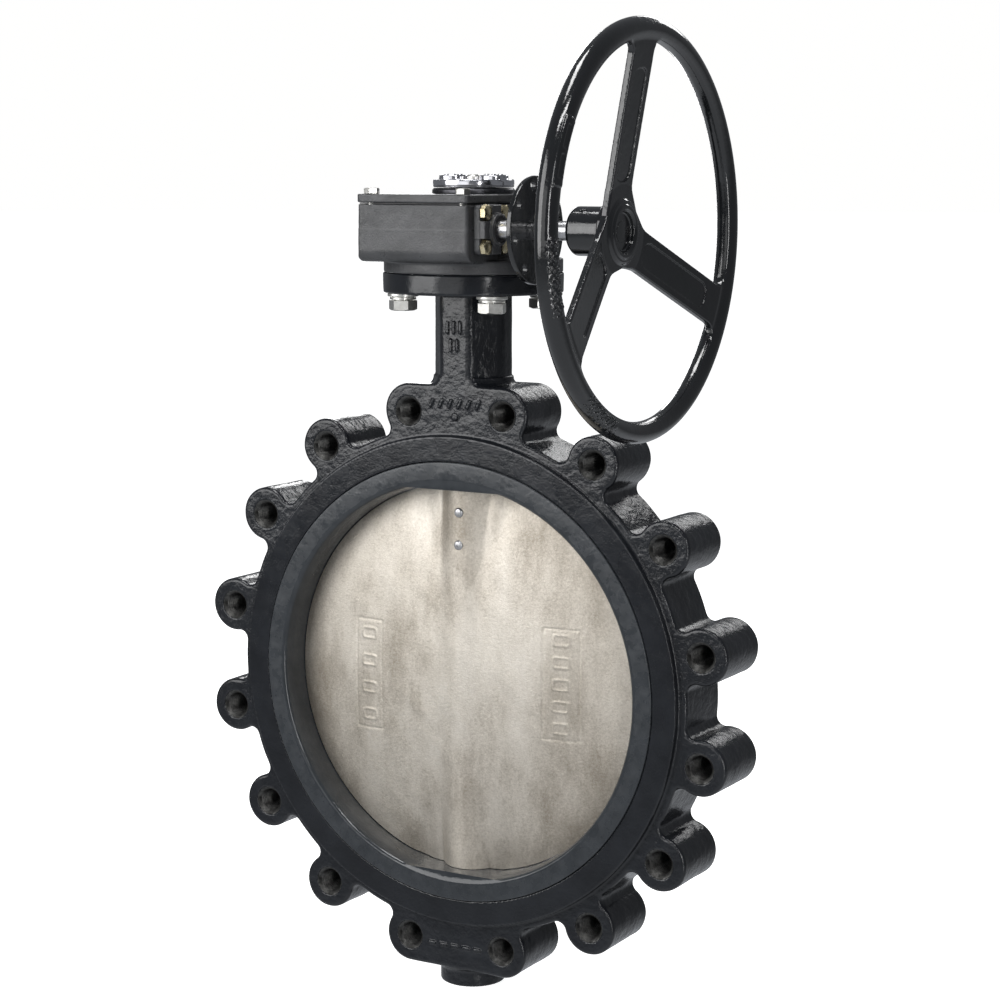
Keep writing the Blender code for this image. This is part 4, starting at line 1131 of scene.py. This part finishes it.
def indicator_plate(x, y, z):
    """The plated plate that turns with the stem: a shallow dish with two raised ribbed lobes."""
    low, high = span("position_indicator", "Z")
    radius = np.hypot(x, y)
    plate = overlap(radius - 39.0, slab(z, low, 487.0), 1.0)
    rim = overlap(slab(radius, 35.0, 39.0), slab(z, low + 2.0, DISH_TOP), 0.9)
    plate = union(plate, rim, 1.0)
    lobe = overlap(circle(np.abs(x), y, 14.0, (22.5, 0.0)), slab(z, 484.0, high - 0.9), 1.6)
    plate = union(plate, lobe, 1.5)
    for place in (15.0, 22.5, 30.0):
        pip = overlap(circle(np.abs(x), y, 2.6, (place, 0.0)), slab(z, 488.0, high), 0.7)
        plate = union(plate, pip, 0.5)
    pointer = overlap(stroke(x, y, (0.0, -29.0), (0.0, 29.0), 2.2), slab(z, 484.0, 488.6), 0.6)
    plate = union(plate, pointer, 0.6)
    return without(plate, radius - 4.3, 0.4)


def make_indicator():
    low, high = span("indicator_dial", "Z")
    corners = [(22.0, low, 0.3), (40.0, low, 0.4), (40.0, high - 1.8, 0.8), (38.6, high, 0.8),
               (22.0, high, 0.5)]
    fit(lathe("dial_ring", corners, segments=128), "indicator_dial", "indicator_base")

    plate = skin("indicator_plate", indicator_plate, *box_of("position_indicator", 1.0), 0.6)
    fit(plate, "position_indicator", "indicator_chrome")

    low, high = span("indicator_screw", "Z")
    corners = [(0, low, 0), (4.0, low, 0.5), (4.0, DISH_TOP, 0), (6.5, DISH_TOP, 0.3),
               (6.5, high - 1.2, 1.2), (4.5, high, 0.8), (3.0, high, 0.2), (2.8, high - 2.4, 0),
               (0, high - 2.8, 0)]
    fit(lathe("pointer_screw", corners, segments=48), "indicator_screw", "zinc")


# ---------------------------------------------------------------- CAD nodes that keep their shape
def finish_cad_nodes():
    """Gives the pieces that keep their CAD shape the finish of their slot."""
    slots = {part["node"]: part["material_slot"] for part in frame["record"]["subparts"]}
    for node, piece in frame["nodes"].items():
        if piece.hide_render:
            continue
        material = FINISH[slots[node]]
        if not piece.material_slots:
            piece.data.materials.append(material)
        for slot in piece.material_slots:
            slot.material = material


# ---------------------------------------------------------------- studio
def aim(thing, target):
    way = Vector(target) - thing.location
    thing.rotation_euler = way.to_track_quat("-Z", "Y").to_euler()


def soft_light(name, place, target, size, power):
    lamp = bpy.data.lights.new(name, "AREA")
    lamp.shape = "RECTANGLE"
    lamp.size, lamp.size_y = size
    lamp.energy = power
    thing = bpy.data.objects.new(name, lamp)
    thing.location = place
    bpy.context.scene.collection.objects.link(thing)
    aim(thing, target)


def make_studio():
    world = bpy.data.worlds.new("studio")
    bpy.context.scene.world = world
    world.use_nodes = True
    nodes, links = world.node_tree.nodes, world.node_tree.links
    direction = nodes.new("ShaderNodeSeparateXYZ")
    links.new(nodes.new("ShaderNodeTexCoord").outputs["Generated"], direction.inputs["Vector"])
    falling = nodes.new("ShaderNodeMapRange")           # the pale floor's light from below
    for label, number in (("From Min", -0.15), ("From Max", -0.5), ("To Min", 0.3), ("To Max", 1.1)):
        falling.inputs[label].default_value = number
    links.new(direction.outputs["Z"], falling.inputs["Value"])
    room = nodes["Background"]
    room.inputs["Color"].default_value = (0.5, 0.52, 0.55, 1.0)
    links.new(falling.outputs["Result"], room.inputs["Strength"])
    backdrop = nodes.new("ShaderNodeBackground")
    backdrop.inputs["Color"].default_value = (1.0, 1.0, 0.995, 1.0)
    backdrop.inputs["Strength"].default_value = 1.0
    paths = nodes.new("ShaderNodeLightPath")
    mix = nodes.new("ShaderNodeMixShader")
    links.new(paths.outputs["Is Camera Ray"], mix.inputs["Fac"])
    links.new(room.outputs["Background"], mix.inputs[1])
    links.new(backdrop.outputs["Background"], mix.inputs[2])
    links.new(mix.outputs["Shader"], nodes["World Output"].inputs["Surface"])

    soft_light("key", (-1.4, -1.95, 0.92), (0.0, 0.0, 0.2), (1.7, 1.9), 37)
    soft_light("front", (-0.2, -3.0, 0.8), (0.0, 0.0, 0.0), (2.4, 1.7), 13)
    soft_light("right_front", (1.75, -1.6, 0.2), (0.0, 0.0, 0.0), (0.25, 1.9), 15)
    soft_light("top_front", (0.75, -0.9, 1.9), (0.0, 0.0, 0.2), (0.9, 0.2), 9)
    soft_light("top", (-0.3, -0.2, 2.3), (0.0, 0.0, 0.1), (1.2, 0.5), 20)
    soft_light("behind", (-0.1, 2.2, 1.4), (0.1, 0.0, 0.1), (1.3, 0.4), 7)
    soft_light("back_left", (-1.3, 1.9, 0.5), (0.0, 0.0, 0.1), (0.3, 1.5), 7)

    floor_z = CAD_BOX[0][2] - 0.0004
    points = [(40 * math.cos(a), 40 * math.sin(a), floor_z) for a in np.linspace(0, 2 * math.pi, 65)[:-1]]
    mesh = bpy.data.meshes.new("floor")
    mesh.from_pydata(points, [], [list(range(64))])
    n = Nodes("floor_white")
    tone = n.colours(n.noise(900), (0.3, (0.9, 0.9, 0.895)), (0.7, (0.93, 0.93, 0.925)))
    n.finish(tone, n.spread(n.noise(500), 0.8, 0.9))
    n.shader.inputs["Emission Color"].default_value = (1.0, 1.0, 0.995, 1.0)
    n.shader.inputs["Emission Strength"].default_value = 0.95
    mesh.materials.append(n.material)
    floor = link("floor", mesh)
    floor.visible_glossy = False
    floor.visible_diffuse = False


def make_camera():
    """The photograph's view: azimuth 30 degrees, elevation 8 degrees, from 2.3 m."""
    azimuth, elevation, roll = math.radians(29.96), math.radians(8.03), math.radians(0.12)
    right = Vector((math.cos(azimuth), math.sin(azimuth), 0.0))
    back = Vector((math.sin(azimuth) * math.cos(elevation), -math.cos(azimuth) * math.cos(elevation),
                   math.sin(elevation)))
    up = back.cross(right)
    right, up = (math.cos(roll) * right + math.sin(roll) * up,
                 math.cos(roll) * up - math.sin(roll) * right)
    lens = bpy.data.cameras.new("camera")
    lens.sensor_width = 36.0
    lens.lens = 85.5
    lens.clip_end = 100.0
    camera = bpy.data.objects.new("camera", lens)
    turn = Matrix((right, up, back)).transposed().to_4x4()
    camera.matrix_world = Matrix.Translation((1.176, -1.988, 0.502)) @ turn
    bpy.context.scene.collection.objects.link(camera)
    bpy.context.scene.camera = camera


make_camera()
make_body()
make_seat()
make_disc()
make_gearbox()
make_shaft()
make_handwheel()
make_fasteners()
make_indicator()
finish_cad_nodes()
make_studio()
bpy.context.scene.view_settings.view_transform = "Standard"
